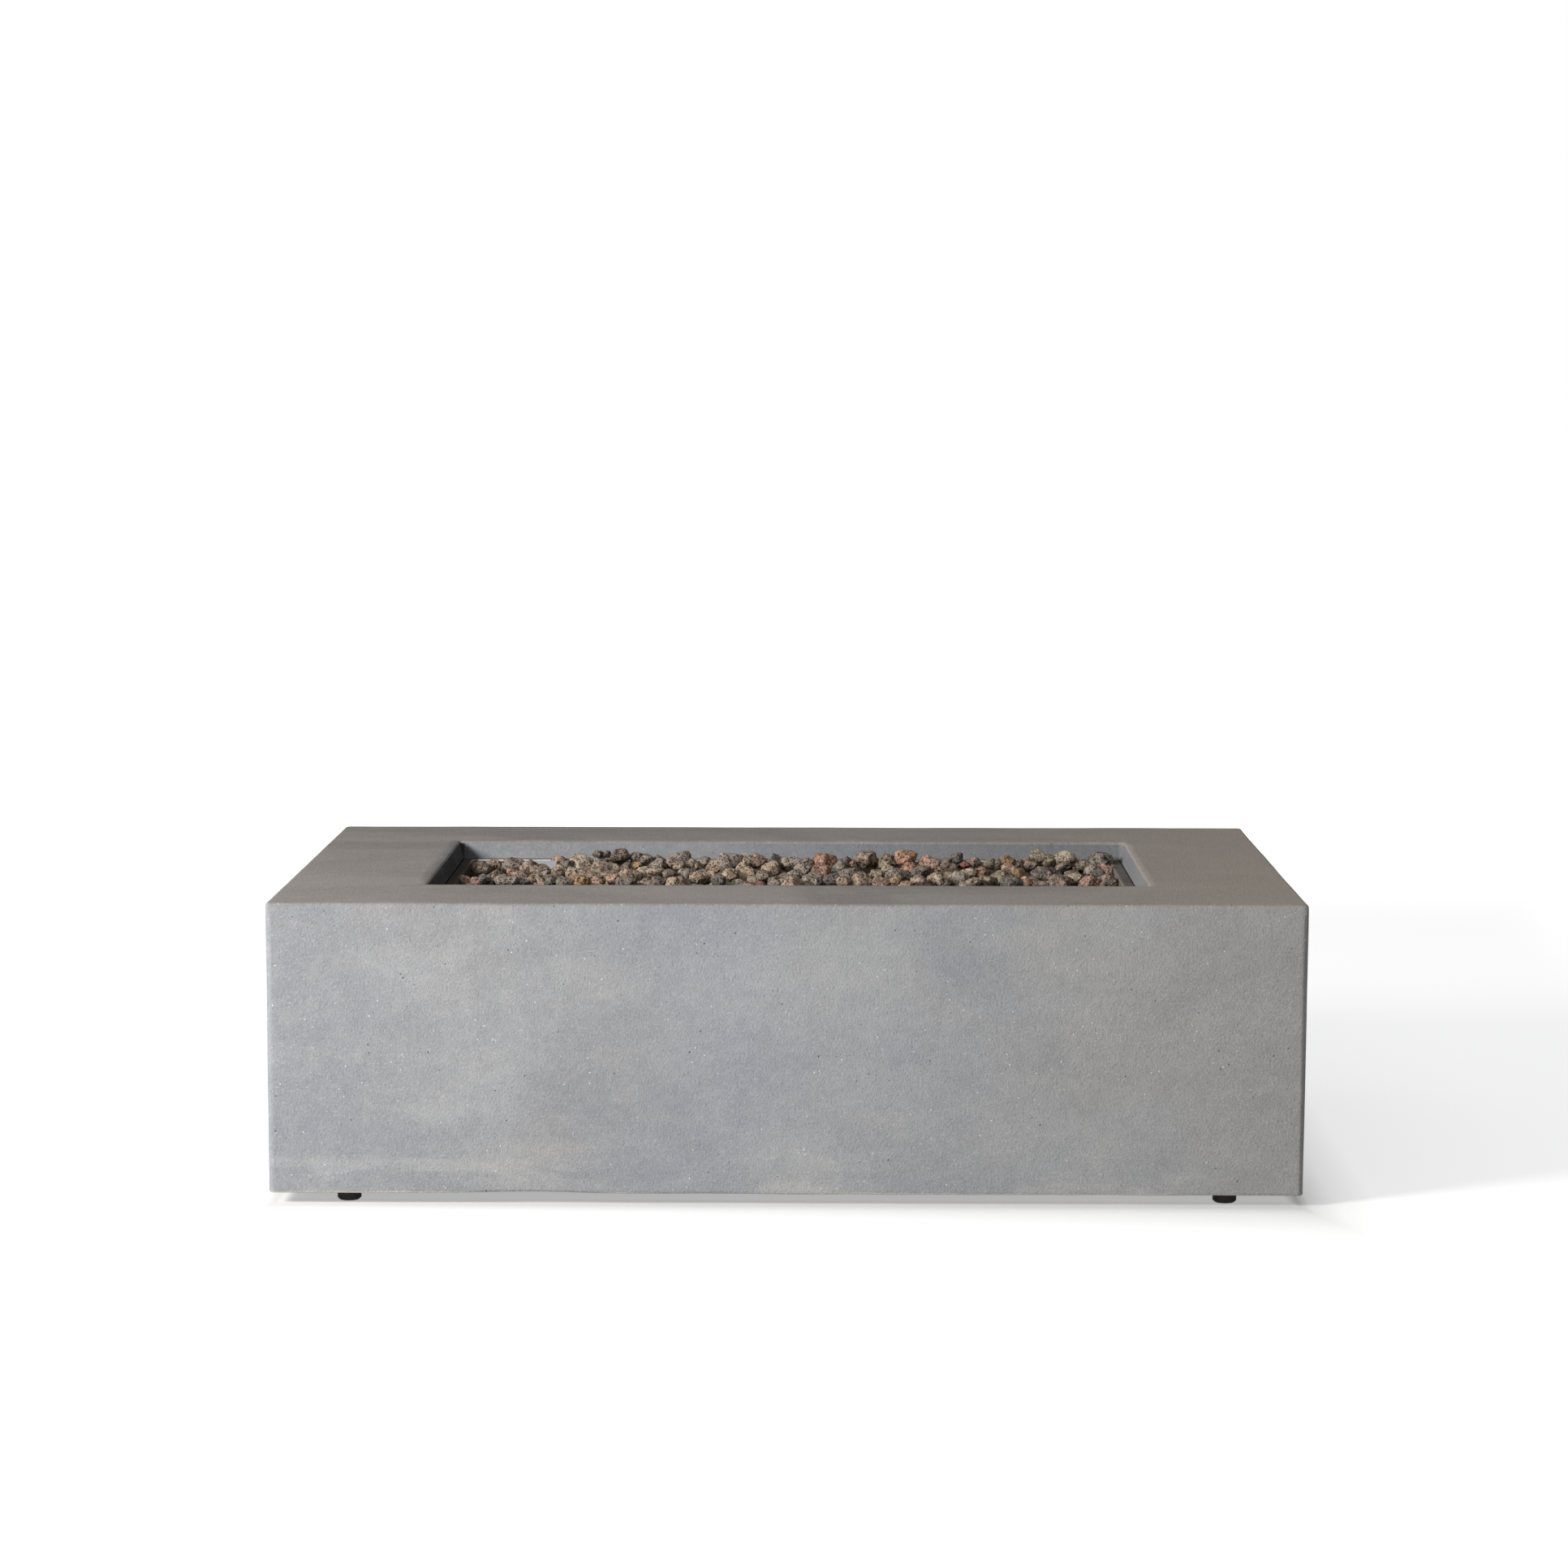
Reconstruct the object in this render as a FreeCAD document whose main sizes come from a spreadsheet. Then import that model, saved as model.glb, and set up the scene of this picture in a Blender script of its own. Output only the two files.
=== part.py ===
import FreeCAD, Part
import math
import os
import random
import re
import Sketcher

# A low cast concrete fire table: a drop-in pan of lava rock over a gas burner.
# Millimetres. Origin on the floor under the centre, +X along the length to the right,
# +Y to the back, +Z up. The controls are in a niche in the left end, at -X.

SIZES = {
    # cast body
    "body_length": 1295,
    "body_width": 813,
    "table_height": 381,
    "foot_gap": 16,
    "wall_thickness": 20,
    "wall_draft": 4,
    "top_thickness": 24,
    "corner_radius": 9,
    "edge_radius": 7,
    "base_bevel": 2.5,
    # recess in the top, measured at the table top
    "recess_length": 929,
    "recess_width": 460,
    "recess_depth": 24,
    "recess_draft": 5.5,
    "rim_bevel": 2.5,
    "ledge_width": 12.5,
    "ledge_thickness": 26,
    "collar_width": 35,
    # drop-in pan
    "pan_sheet": 1.5,
    "pan_gap": 2,
    "pan_depth": 58,
    "pan_corner": 10,
    "weep_radius": 3,
    "weep_spacing": 320,
    "weep_spread": 53,
    # burner
    "leg_radius": 9.5,
    "leg_wall": 1.2,
    "leg_length": 762,
    "leg_spacing": 236,
    "leg_lift": 8,
    "port_length": 9,
    "port_width": 1.6,
    "port_pitch": 45,
    "port_margin": 20,
    "hub_radius": 19,
    "saddle_length": 20,
    "saddle_spacing": 560,
    "saddle_cover": 3,
    "locknut_thickness": 4.5,
    "locknut_radius": 17,
    "nipple_radius": 10.65,
    "nipple_bore": 8,
    "nipple_grip": 10,
    "nipple_drop": 16,
    # gas way
    "mixer_radius": 14,
    "mixer_length": 70,
    "mixer_slot": 8,
    "mixer_slot_height": 16,
    "mixer_slot_rise": 20,
    "jet_radius": 1.2,
    "fitting_hex": 11,
    "fitting_hex_length": 8,
    "spigot_radius": 6.5,
    "spigot_length": 10,
    "flare_radius": 7.94,
    "flare_length": 14,
    "gas_bore": 4,
    "hose_radius": 6.5,
    "hose_sag": 110,
    "nut_length": 22,
    "nut_radius": 12.7,
    # control niche and plate
    "control_height": 190,
    "control_spacing": 76,
    "niche_width": 172,
    "niche_height": 104,
    "niche_depth": 40,
    "niche_wall": 14,
    "niche_frame": 18,
    "window_width": 136,
    "window_height": 68,
    "plate_thickness": 2,
    "plate_corner": 3,
    "plate_gap": 2,
    "screw_inset": 8,
    "screw_radius": 1.95,
    "screw_hole": 2.25,
    "screw_length": 11,
    "screw_head": 4,
    "screw_head_height": 2.4,
    "insert_radius": 3.5,
    "insert_length": 10,
    # valve
    "valve_radius": 20,
    "valve_length": 60,
    "inlet_boss": 12,
    "inlet_boss_length": 40,
    "inlet_boss_width": 30,
    "bonnet_radius": 9,
    "bonnet_nut": 4,
    "bonnet_nut_radius": 13.5,
    "bonnet_stand": 1,
    "stem_radius": 4,
    "stem_flat": 2.6,
    "stem_depth": 28,
    "rod_radius": 2.5,
    "rod_length": 22,
    "knob_travel": 4,
    "knob_radius": 19,
    "knob_length": 24,
    "knob_socket": 14,
    "knob_bevel": 2.5,
    "pointer_height": 1,
    "pointer_root": 2,
    "pointer_width": 3,
    "flute_radius": 3,
    "flute_length": 18,
    "flute_count": 10,
    "lead_boss_radius": 6,
    "lead_boss_height": 8,
    # igniter
    "igniter_radius": 11,
    "igniter_length": 60,
    "bezel_radius": 14,
    "bezel_thickness": 3,
    "igniter_nut_radius": 15.5,
    "igniter_nut_length": 5,
    "button_radius": 8,
    "button_length": 15,
    "button_travel": 3.5,
    "button_stand": 7,
    "button_bevel": 1.5,
    "battery_radius": 5.25,
    "battery_length": 44.5,
    "battery_pip": 1.75,
    "battery_pip_height": 1,
    "contact_depth": 1.5,
    "battery_bore": 5.7,
    # electrode, thermocouple and hood
    "hood_length": 44,
    "hood_width": 36,
    "hood_height": 60.5,
    "hood_fall": 12,
    "hood_lip": 14,
    "hood_sheet": 1.2,
    "hood_from_end": 98,
    "hood_from_leg": 6.5,
    "bracket_length": 38,
    "bracket_width": 30,
    "bracket_screw_spacing": 26,
    "bracket_screw_offset": 10,
    "probe_spacing": 16,
    "collar_height": 8,
    "collar_wall": 2,
    "insulator_radius": 3.5,
    "insulator_top": 21,
    "insulator_drop": 12,
    "shoulder_height": 4,
    "tip_radius": 1.1,
    "tip_rise": 8,
    "tip_reach": 14,
    "probe_radius": 2.4,
    "probe_top": 30,
    "probe_drop": 14,
    "bracket_screw_radius": 1.7,
    "bracket_screw_head": 3.2,
    "bracket_screw_length": 6,
    "bracket_head_height": 2,
    "wire_radius": 2.5,
    "lead_radius": 1.5,
    # levelling feet
    "foot_from_end": 97.5,
    "foot_from_side": 38.5,
    "foot_block": 60,
    "foot_block_height": 62,
    "foot_insert_radius": 8,
    "foot_insert_length": 32,
    "stud_radius": 4,
    "stud_clearance": 2,
    "stud_length": 38,
    "stud_flange_radius": 10,
    "stud_flange": 3,
    "stud_disc_radius": 6,
    "stud_disc": 3,
    "foot_radius": 15,
    "foot_height": 12,
    "foot_edge": 2.5,
    "foot_sole": 4,
    # lava rock
    "rock_pitch": 44,
    "base_pitch": 86,
    "rock_clearance": 4,
    "rock_heap": 7,
    "rock_scatter": 5,
    "rock_gap": 1.2,
    # clearances, and how far a cut runs past the face that it opens
    "cut_past": 1,
    "end_gap": 0.5,
    "thread_gap": 0.1,
    "running_gap": 0.06,
    "free_gap": 0.3,
}

# Places and sizes that follow from the sizes above.
PLACES = {
    "end_x": "-body_length / 2",
    "cavity_height": "table_height - top_thickness - foot_gap",
    "flange_top": "table_height - recess_depth",
    "ledge_z": "flange_top - pan_sheet",
    "collar_low": "ledge_z - ledge_thickness",
    "floor_half_length": "recess_length / 2 - recess_draft",
    "floor_half_width": "recess_width / 2 - recess_draft",
    "hole_half_length": "floor_half_length - ledge_width",
    "hole_half_width": "floor_half_width - ledge_width",
    "tub_half_length": "hole_half_length - pan_gap",
    "tub_half_width": "hole_half_width - pan_gap",
    "pan_under": "flange_top - pan_depth",
    "pan_floor": "pan_under + pan_sheet",
    "leg_z": "pan_floor + leg_lift + leg_radius",
    "leg_y": "leg_spacing / 2",
    "hub_bottom": "pan_floor + locknut_thickness",
    "leg_top": "leg_z + leg_radius",
    "ports_half_run": "floor((leg_length / 2 - port_margin) / port_pitch) * port_pitch",
    "port_count": "2 * ports_half_run / port_pitch",
    "nipple_top": "hub_bottom + nipple_grip",
    "nipple_bottom": "pan_under - locknut_thickness - nipple_drop",
    "mixer_top": "nipple_bottom + nipple_grip",
    "mixer_bottom": "mixer_top - mixer_length",
    "orifice_shoulder": "mixer_bottom - fitting_hex_length",
    "orifice_end": "orifice_shoulder - flare_length",
    "plate_back": "end_x + niche_depth",
    "plate_front": "plate_back - plate_thickness",
    "plate_half_width": "niche_width / 2 - plate_gap",
    "plate_half_height": "niche_height / 2 - plate_gap",
    "screw_y": "plate_half_width - screw_inset",
    "screw_z": "plate_half_height - screw_inset",
    "valve_y": "-control_spacing / 2",
    "igniter_y": "control_spacing / 2",
    "valve_end": "plate_back + valve_length",
    "valve_outlet": "valve_end + flare_length",
    "inlet_x": "plate_back + valve_length / 2",
    "inlet_z": "control_height - valve_radius - inlet_boss",
    "inlet_shoulder": "inlet_z - fitting_hex_length",
    "inlet_end": "inlet_shoulder - flare_length",
    "bonnet_end": "plate_front - bonnet_nut - bonnet_stand",
    "knob_back": "bonnet_end - knob_travel - end_gap",
    "knob_front": "knob_back - knob_length",
    "stem_front": "knob_back - knob_socket",
    "stem_back": "plate_back + stem_depth",
    "rod_front": "stem_back + free_gap",
    "rod_back": "rod_front + rod_length",
    "rod_bore_end": "rod_back + knob_travel + end_gap",
    "stem_bore_end": "stem_back + knob_travel + end_gap",
    "lead_boss_top": "control_height + valve_radius + lead_boss_height",
    "bezel_front": "plate_front - bezel_thickness",
    "igniter_end": "plate_front + igniter_length",
    "button_front": "bezel_front - button_stand",
    "button_back": "button_front + button_length",
    "button_bore_end": "button_back + button_travel + end_gap",
    "battery_bore_end": "button_bore_end + battery_length + contact_depth",
    "hood_x": "-tub_half_length + hood_from_end",
    "hood_front": "leg_y + leg_radius + hood_from_leg",
    "hood_y": "hood_front + hood_width / 2",
    "hood_top": "pan_floor + hood_height",
    "electrode_x": "hood_x - probe_spacing / 2",
    "probe_x": "hood_x + probe_spacing / 2",
    "bracket_top": "pan_floor + pan_sheet",
    "bracket_screw_y": "hood_y + bracket_screw_offset",
    "insulator_high": "pan_floor + insulator_top",
    "insulator_low": "pan_under - insulator_drop",
    "probe_high": "pan_floor + probe_top",
    "probe_low": "pan_under - probe_drop",
    "foot_x": "body_length / 2 - foot_from_end",
    "foot_y": "body_width / 2 - foot_from_side",
    "stud_top": "foot_gap + stud_length",
}

CORNERS = {
    "front_left": (-1, -1),
    "front_right": (1, -1),
    "rear_left": (-1, 1),
    "rear_right": (1, 1),
}

TURNS = {
    "+Z": FreeCAD.Rotation(),
    "-Z": FreeCAD.Rotation(FreeCAD.Vector(1, 0, 0), 180),
    "+X": FreeCAD.Rotation(FreeCAD.Vector(0, 1, 0), 90),
    "-X": FreeCAD.Rotation(FreeCAD.Vector(0, 1, 0), -90),
    "+Y": FreeCAD.Rotation(FreeCAD.Vector(1, 0, 0), -90),
}

QUARTER = FreeCAD.Rotation(FreeCAD.Vector(0, 0, 1), 90)

Vector = FreeCAD.Vector
document = FreeCAD.newDocument("fire_pit_table")
nodes = []


# Sheets and expressions

def fill_sheet(name, entries, prefix):
    sheet = document.addObject("Spreadsheet::Sheet", name)
    for row, (alias, content) in enumerate(entries.items(), 1):
        sheet.set(f"A{row}", alias)
        sheet.set(f"B{row}", prefix + str(content))
        sheet.setAlias(f"B{row}", alias)
    document.recompute()
    return sheet


def full_names(text):
    """Write each size and place in an expression with the name of its sheet."""
    def full(match):
        word = match.group(0)
        if word in SIZES:
            return "Sizes." + word
        if word in PLACES:
            return "Places." + word
        return word
    return re.sub(r"[a-z][a-z_]+", full, str(text))


sizes = fill_sheet("Sizes", SIZES, "")
places = fill_sheet("Places", {name: full_names(text).replace("Places.", "") for name, text in PLACES.items()}, "=")


def size(name):
    sheet = sizes if name in SIZES else places
    return float(sheet.get(name))


def bind(thing, **expressions):
    for name, text in expressions.items():
        thing.setExpression(name, full_names(text))


def place(thing, x, y, z):
    thing.setExpression("Placement.Base.x", full_names(x))
    thing.setExpression("Placement.Base.y", full_names(y))
    thing.setExpression("Placement.Base.z", full_names(z))


def node(thing, name):
    """Name a finished sub-part: the name is that of its file too."""
    thing.Label = name
    if thing.Label != name:
        raise RuntimeError(f"two objects are called {name}")
    nodes.append(thing)
    return thing


# Primitives and booleans

def cylinder(name, axis, radius, length, x, y, z):
    part = document.addObject("Part::Cylinder", name)
    part.Placement.Rotation = TURNS[axis]
    bind(part, Radius=radius, Height=length)
    place(part, x, y, z)
    return part


def hexagon(name, axis, radius, length, x, y, z):
    part = document.addObject("Part::Prism", name)
    part.Polygon = 6
    part.Placement.Rotation = TURNS[axis]
    bind(part, Circumradius=radius, Height=length)
    place(part, x, y, z)
    return part


def block(name, length, width, height, x, y, z):
    """A box given by the middle of its footprint and the height of its underside."""
    part = document.addObject("Part::Box", name)
    bind(part, Length=length, Width=width, Height=height)
    place(part, f"{x} - ({length}) / 2", f"{y} - ({width}) / 2", z)
    return part


def fuse(name, parts):
    joined = document.addObject("Part::MultiFuse", name)
    joined.Shapes = parts
    joined.Refine = True
    return joined


def group(name, parts):
    """Separate solids that share one node."""
    together = document.addObject("Part::Compound", name)
    together.Links = parts
    return together


def cut(name, base, tools):
    result = document.addObject("Part::Cut", name)
    result.Base = base
    result.Tool = tools[0] if len(tools) == 1 else fuse(name + " tools", tools)
    return result


def bevelled(name, base, chosen, width):
    """Cut one or more edges of a primitive at 45 degrees."""
    document.recompute()
    result = document.addObject("Part::Chamfer", name)
    result.Base = base
    reach = size(width)
    result.Edges = [(i, reach, reach) for i, edge in enumerate(base.Shape.Edges, 1) if chosen(edge)]
    return result


# Sketches and features of a body

def new_body(name):
    return document.addObject("PartDesign::Body", name)


def sketch_on(body, plane, x="0", y="0", z="0"):
    """A sketch on one of the body's own planes, moved by an offset in the plane's frame."""
    sketch = body.newObject("Sketcher::SketchObject", "sketch")
    origin_plane = next(item for item in body.Origin.OriginFeatures if item.Role == plane)
    sketch.AttachmentSupport = [(origin_plane, "")]
    sketch.MapMode = "FlatFace"
    for letter, text in (("x", x), ("y", y), ("z", z)):
        sketch.setExpression("AttachmentOffset.Base." + letter, full_names(text))
    return sketch


def fix(sketch, kind, geometry, point, text, start):
    constraint = sketch.addConstraint(Sketcher.Constraint(kind, -1, 1, geometry, point, start))
    sketch.setExpression(f"Constraints[{constraint}]", full_names(text))


def polygon(sketch, points):
    """A closed outline whose corners are given as expressions with a rough first value."""
    first = sketch.GeometryCount
    count = len(points)
    rough = [Vector(x[1], y[1], 0) for x, y in points]
    for i in range(count):
        sketch.addGeometry(Part.LineSegment(rough[i], rough[(i + 1) % count]), False)
    for i in range(count):
        sketch.addConstraint(Sketcher.Constraint("Coincident", first + i, 2, first + (i + 1) % count, 1))
    for i, (x, y) in enumerate(points):
        fix(sketch, "DistanceX", first + i, 1, x[0], x[1])
        fix(sketch, "DistanceY", first + i, 1, y[0], y[1])


def rectangle(sketch, left, right, low, high):
    first = sketch.GeometryCount
    points = [Vector(-10, -10, 0), Vector(10, -10, 0), Vector(10, 10, 0), Vector(-10, 10, 0)]
    for i in range(4):
        sketch.addGeometry(Part.LineSegment(points[i], points[(i + 1) % 4]), False)
    for i in range(4):
        sketch.addConstraint(Sketcher.Constraint("Coincident", first + i, 2, first + (i + 1) % 4, 1))
    for i in (0, 2):
        sketch.addConstraint(Sketcher.Constraint("Horizontal", first + i))
    for i in (1, 3):
        sketch.addConstraint(Sketcher.Constraint("Vertical", first + i))
    fix(sketch, "DistanceX", first, 1, left, -10.0)
    fix(sketch, "DistanceY", first, 1, low, -10.0)
    fix(sketch, "DistanceX", first + 2, 1, right, 10.0)
    fix(sketch, "DistanceY", first + 2, 1, high, 10.0)


def centred(sketch, half_width, half_height):
    rectangle(sketch, f"-({half_width})", half_width, f"-({half_height})", half_height)


def rounded(sketch, half_width, half_height, radius):
    """A rectangle about the sketch's origin with an arc in each corner."""
    first = sketch.GeometryCount
    quarter = math.pi / 2
    ways = [(1, 1), (-1, 1), (-1, -1), (1, -1)]
    for i, (way_x, way_y) in enumerate(ways):
        corner = Part.Circle(Vector(10 * way_x, 10 * way_y, 0), Vector(0, 0, 1), 3)
        sketch.addGeometry(Part.ArcOfCircle(corner, i * quarter, (i + 1) * quarter), False)
    ends = [Vector(10, 13, 0), Vector(-13, 10, 0), Vector(-10, -13, 0), Vector(13, -10, 0)]
    starts = [Vector(-10, 13, 0), Vector(-13, -10, 0), Vector(10, -13, 0), Vector(13, 10, 0)]
    for i in range(4):
        sketch.addGeometry(Part.LineSegment(ends[i], starts[i]), False)
    for i, (way_x, way_y) in enumerate(ways):
        arc = first + i
        line = first + 4 + i
        sketch.addConstraint(Sketcher.Constraint("Tangent", arc, 2, line, 1))
        sketch.addConstraint(Sketcher.Constraint("Tangent", line, 2, first + (i + 1) % 4, 1))
        fix(sketch, "DistanceX", arc, 3, f"{way_x} * ({half_width} - ({radius}))", 10 * way_x)
        fix(sketch, "DistanceY", arc, 3, f"{way_y} * ({half_height} - ({radius}))", 10 * way_y)
        constraint = sketch.addConstraint(Sketcher.Constraint("Radius", arc, 3))
        sketch.setExpression(f"Constraints[{constraint}]", full_names(radius))


def circle(sketch, x, y, radius):
    ring = sketch.addGeometry(Part.Circle(Vector(5, 5, 0), Vector(0, 0, 1), 3), False)
    fix(sketch, "DistanceX", ring, 3, x, 5)
    fix(sketch, "DistanceY", ring, 3, y, 5)
    constraint = sketch.addConstraint(Sketcher.Constraint("Radius", ring, 3))
    sketch.setExpression(f"Constraints[{constraint}]", full_names(radius))


def six_sided(sketch, x, y, radius):
    """A regular hexagon with two corners on the sketch's X direction."""
    points = []
    for corner in range(6):
        angle = corner * math.pi / 3
        share_x = round(math.cos(angle), 9)
        share_y = round(math.sin(angle), 9)
        point_x = (f"{x} + ({share_x}) * ({radius})", 5 * share_x)
        point_y = (f"{y} + ({share_y}) * ({radius})", 5 * share_y)
        points.append((point_x, point_y))
    polygon(sketch, points)


def pad(body, sketch, length, backwards=False, both_ways=False):
    feature = body.newObject("PartDesign::Pad", "pad")
    feature.Profile = sketch
    feature.Reversed = backwards
    feature.Midplane = both_ways
    bind(feature, Length=length)
    return feature


def pocket(body, sketch, length, forwards=False, both_ways=False, inset=None):
    """Cut against the sketch's normal, or along it when forwards; inset narrows it with depth."""
    feature = body.newObject("PartDesign::Pocket", "pocket")
    feature.Profile = sketch
    feature.Reversed = forwards
    feature.Midplane = both_ways
    bind(feature, Length=length)
    if inset:
        bind(feature, TaperAngle=f"-atan(({inset}) / ({length}))")
    return feature


def round_edges(body, feature, chosen, radius):
    document.recompute()
    names = [f"Edge{i}" for i, edge in enumerate(feature.Shape.Edges, 1) if chosen(edge)]
    fillet = body.newObject("PartDesign::Fillet", "fillet")
    fillet.Base = (feature, names)
    bind(fillet, Radius=radius)
    return fillet


def bevel_edges(body, feature, chosen, width):
    document.recompute()
    names = [f"Edge{i}" for i, edge in enumerate(feature.Shape.Edges, 1) if chosen(edge)]
    chamfer = body.newObject("PartDesign::Chamfer", "chamfer")
    chamfer.Base = (feature, names)
    bind(chamfer, Size=width)
    return chamfer


def is_level(edge, z):
    bounds = edge.BoundBox
    return abs(bounds.ZMin - z) < 0.01 and abs(bounds.ZMax - z) < 0.01


# The cast body

def table_body():
    body = new_body("table_body")
    outline = sketch_on(body, "XY_Plane", z="foot_gap")
    rounded(outline, "body_length / 2", "body_width / 2", "corner_radius")
    casting = pad(body, outline, "table_height - foot_gap")
    softened = round_edges(body, casting, lambda edge: is_level(edge, size("table_height")), "edge_radius")
    bevel_edges(body, softened, lambda edge: is_level(edge, size("foot_gap")), "base_bevel")

    cavity = sketch_on(body, "XY_Plane", z="foot_gap")
    centred(cavity, "body_length / 2 - wall_thickness", "body_width / 2 - wall_thickness")
    pocket(body, cavity, "cavity_height", forwards=True, inset="wall_draft")

    # the ring that thickens the slab round the hole and carries the pan
    collar = sketch_on(body, "XY_Plane", z="collar_low")
    centred(collar, "floor_half_length + collar_width", "floor_half_width + collar_width")
    pad(body, collar, "table_height - top_thickness / 2 - collar_low")

    # blocks that hold the nuts of the feet, cast against the long walls
    for side_x, side_y in CORNERS.values():
        foot = sketch_on(body, "XY_Plane", z="foot_gap")
        inner = f"{side_y} * (foot_y - foot_block / 2)"
        outer = f"{side_y} * (body_width / 2 - wall_thickness / 2)"
        low, high = (inner, outer) if side_y > 0 else (outer, inner)
        rectangle(foot, f"{side_x} * foot_x - foot_block / 2", f"{side_x} * foot_x + foot_block / 2", low, high)
        pad(body, foot, "foot_block_height")

    # the thick frame round the control niche
    frame = sketch_on(body, "YZ_Plane", z="end_x + wall_thickness / 2")
    rectangle(frame, "-niche_width / 2 - niche_frame", "niche_width / 2 + niche_frame",
              "control_height - niche_height / 2 - niche_frame",
              "control_height + niche_height / 2 + niche_frame")
    pad(body, frame, "niche_depth + niche_wall - wall_thickness / 2")

    recess = sketch_on(body, "XY_Plane", z="table_height")
    centred(recess, "recess_length / 2", "recess_width / 2")
    bowl = pocket(body, recess, "recess_depth + pan_sheet", inset="recess_draft")
    bevel_edges(body, bowl, is_recess_rim, "rim_bevel")

    hole = sketch_on(body, "XY_Plane", z="ledge_z + cut_past")
    centred(hole, "hole_half_length", "hole_half_width")
    pocket(body, hole, "ledge_thickness + 2 * cut_past")

    niche = sketch_on(body, "YZ_Plane", z="end_x")
    rectangle(niche, "-niche_width / 2", "niche_width / 2",
              "control_height - niche_height / 2", "control_height + niche_height / 2")
    pocket(body, niche, "niche_depth", forwards=True)
    window = sketch_on(body, "YZ_Plane", z="end_x")
    rectangle(window, "-window_width / 2", "window_width / 2",
              "control_height - window_height / 2", "control_height + window_height / 2")
    pocket(body, window, "niche_depth + niche_wall + cut_past", forwards=True)

    sockets = sketch_on(body, "YZ_Plane", z="plate_back")
    for side_y in (-1, 1):
        for side_z in (-1, 1):
            six_sided(sockets, f"{side_y} * screw_y", f"control_height + {side_z} * screw_z",
                      "insert_radius + thread_gap")
    pocket(body, sockets, "insert_length", forwards=True)

    nuts = sketch_on(body, "XY_Plane", z="foot_gap")
    studs = sketch_on(body, "XY_Plane", z="foot_gap")
    for side_x, side_y in CORNERS.values():
        six_sided(nuts, f"{side_x} * foot_x", f"{side_y} * foot_y", "foot_insert_radius + thread_gap")
        circle(studs, f"{side_x} * foot_x", f"{side_y} * foot_y", "stud_radius + stud_clearance")
    pocket(body, nuts, "foot_insert_length", forwards=True)
    pocket(body, studs, "stud_length + stud_clearance", forwards=True)
    return node(body, "table_body")


def is_recess_rim(edge):
    bounds = edge.BoundBox
    inside = abs(bounds.Center.x) < size("recess_length") / 2 + 1
    inside = inside and abs(bounds.Center.y) < size("recess_width") / 2 + 1
    return inside and is_level(edge, size("table_height"))


# The pan and the burner

def burner_pan():
    body = new_body("burner_pan")
    flange = sketch_on(body, "XY_Plane", z="ledge_z")
    centred(flange, "floor_half_length - pan_gap", "floor_half_width - pan_gap")
    pad(body, flange, "pan_sheet")
    tub = sketch_on(body, "XY_Plane", z="pan_under")
    rounded(tub, "tub_half_length", "tub_half_width", "pan_corner")
    pad(body, tub, "pan_depth - pan_sheet / 2")
    inside = sketch_on(body, "XY_Plane", z="flange_top")
    rounded(inside, "tub_half_length - pan_sheet", "tub_half_width - pan_sheet", "pan_corner - pan_sheet")
    hollow = pocket(body, inside, "pan_depth - pan_sheet")
    bevel_edges(body, hollow, is_pan_lip, "pan_sheet / 2")

    holes = sketch_on(body, "XY_Plane", z="pan_floor + cut_past")
    circle(holes, "0", "0", "nipple_radius + free_gap")
    for side_x in (-1, 1):
        for side_y in (-1, 1):
            circle(holes, f"{side_x} * weep_spacing", f"{side_y} * weep_spread", "weep_radius")
    circle(holes, "electrode_x", "hood_y", "insulator_radius + free_gap")
    circle(holes, "probe_x", "hood_y", "probe_radius + free_gap")
    for side in (-1, 1):
        circle(holes, f"hood_x + {side} * bracket_screw_spacing / 2", "bracket_screw_y",
               "bracket_screw_radius + thread_gap")
    pocket(body, holes, "pan_sheet + 2 * cut_past")
    return node(body, "burner_pan")


def is_pan_lip(edge):
    bounds = edge.BoundBox
    inside = abs(bounds.Center.x) < size("tub_half_length") - 0.5
    inside = inside and abs(bounds.Center.y) < size("tub_half_width") - 0.5
    return inside and is_level(edge, size("flange_top"))


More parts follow.
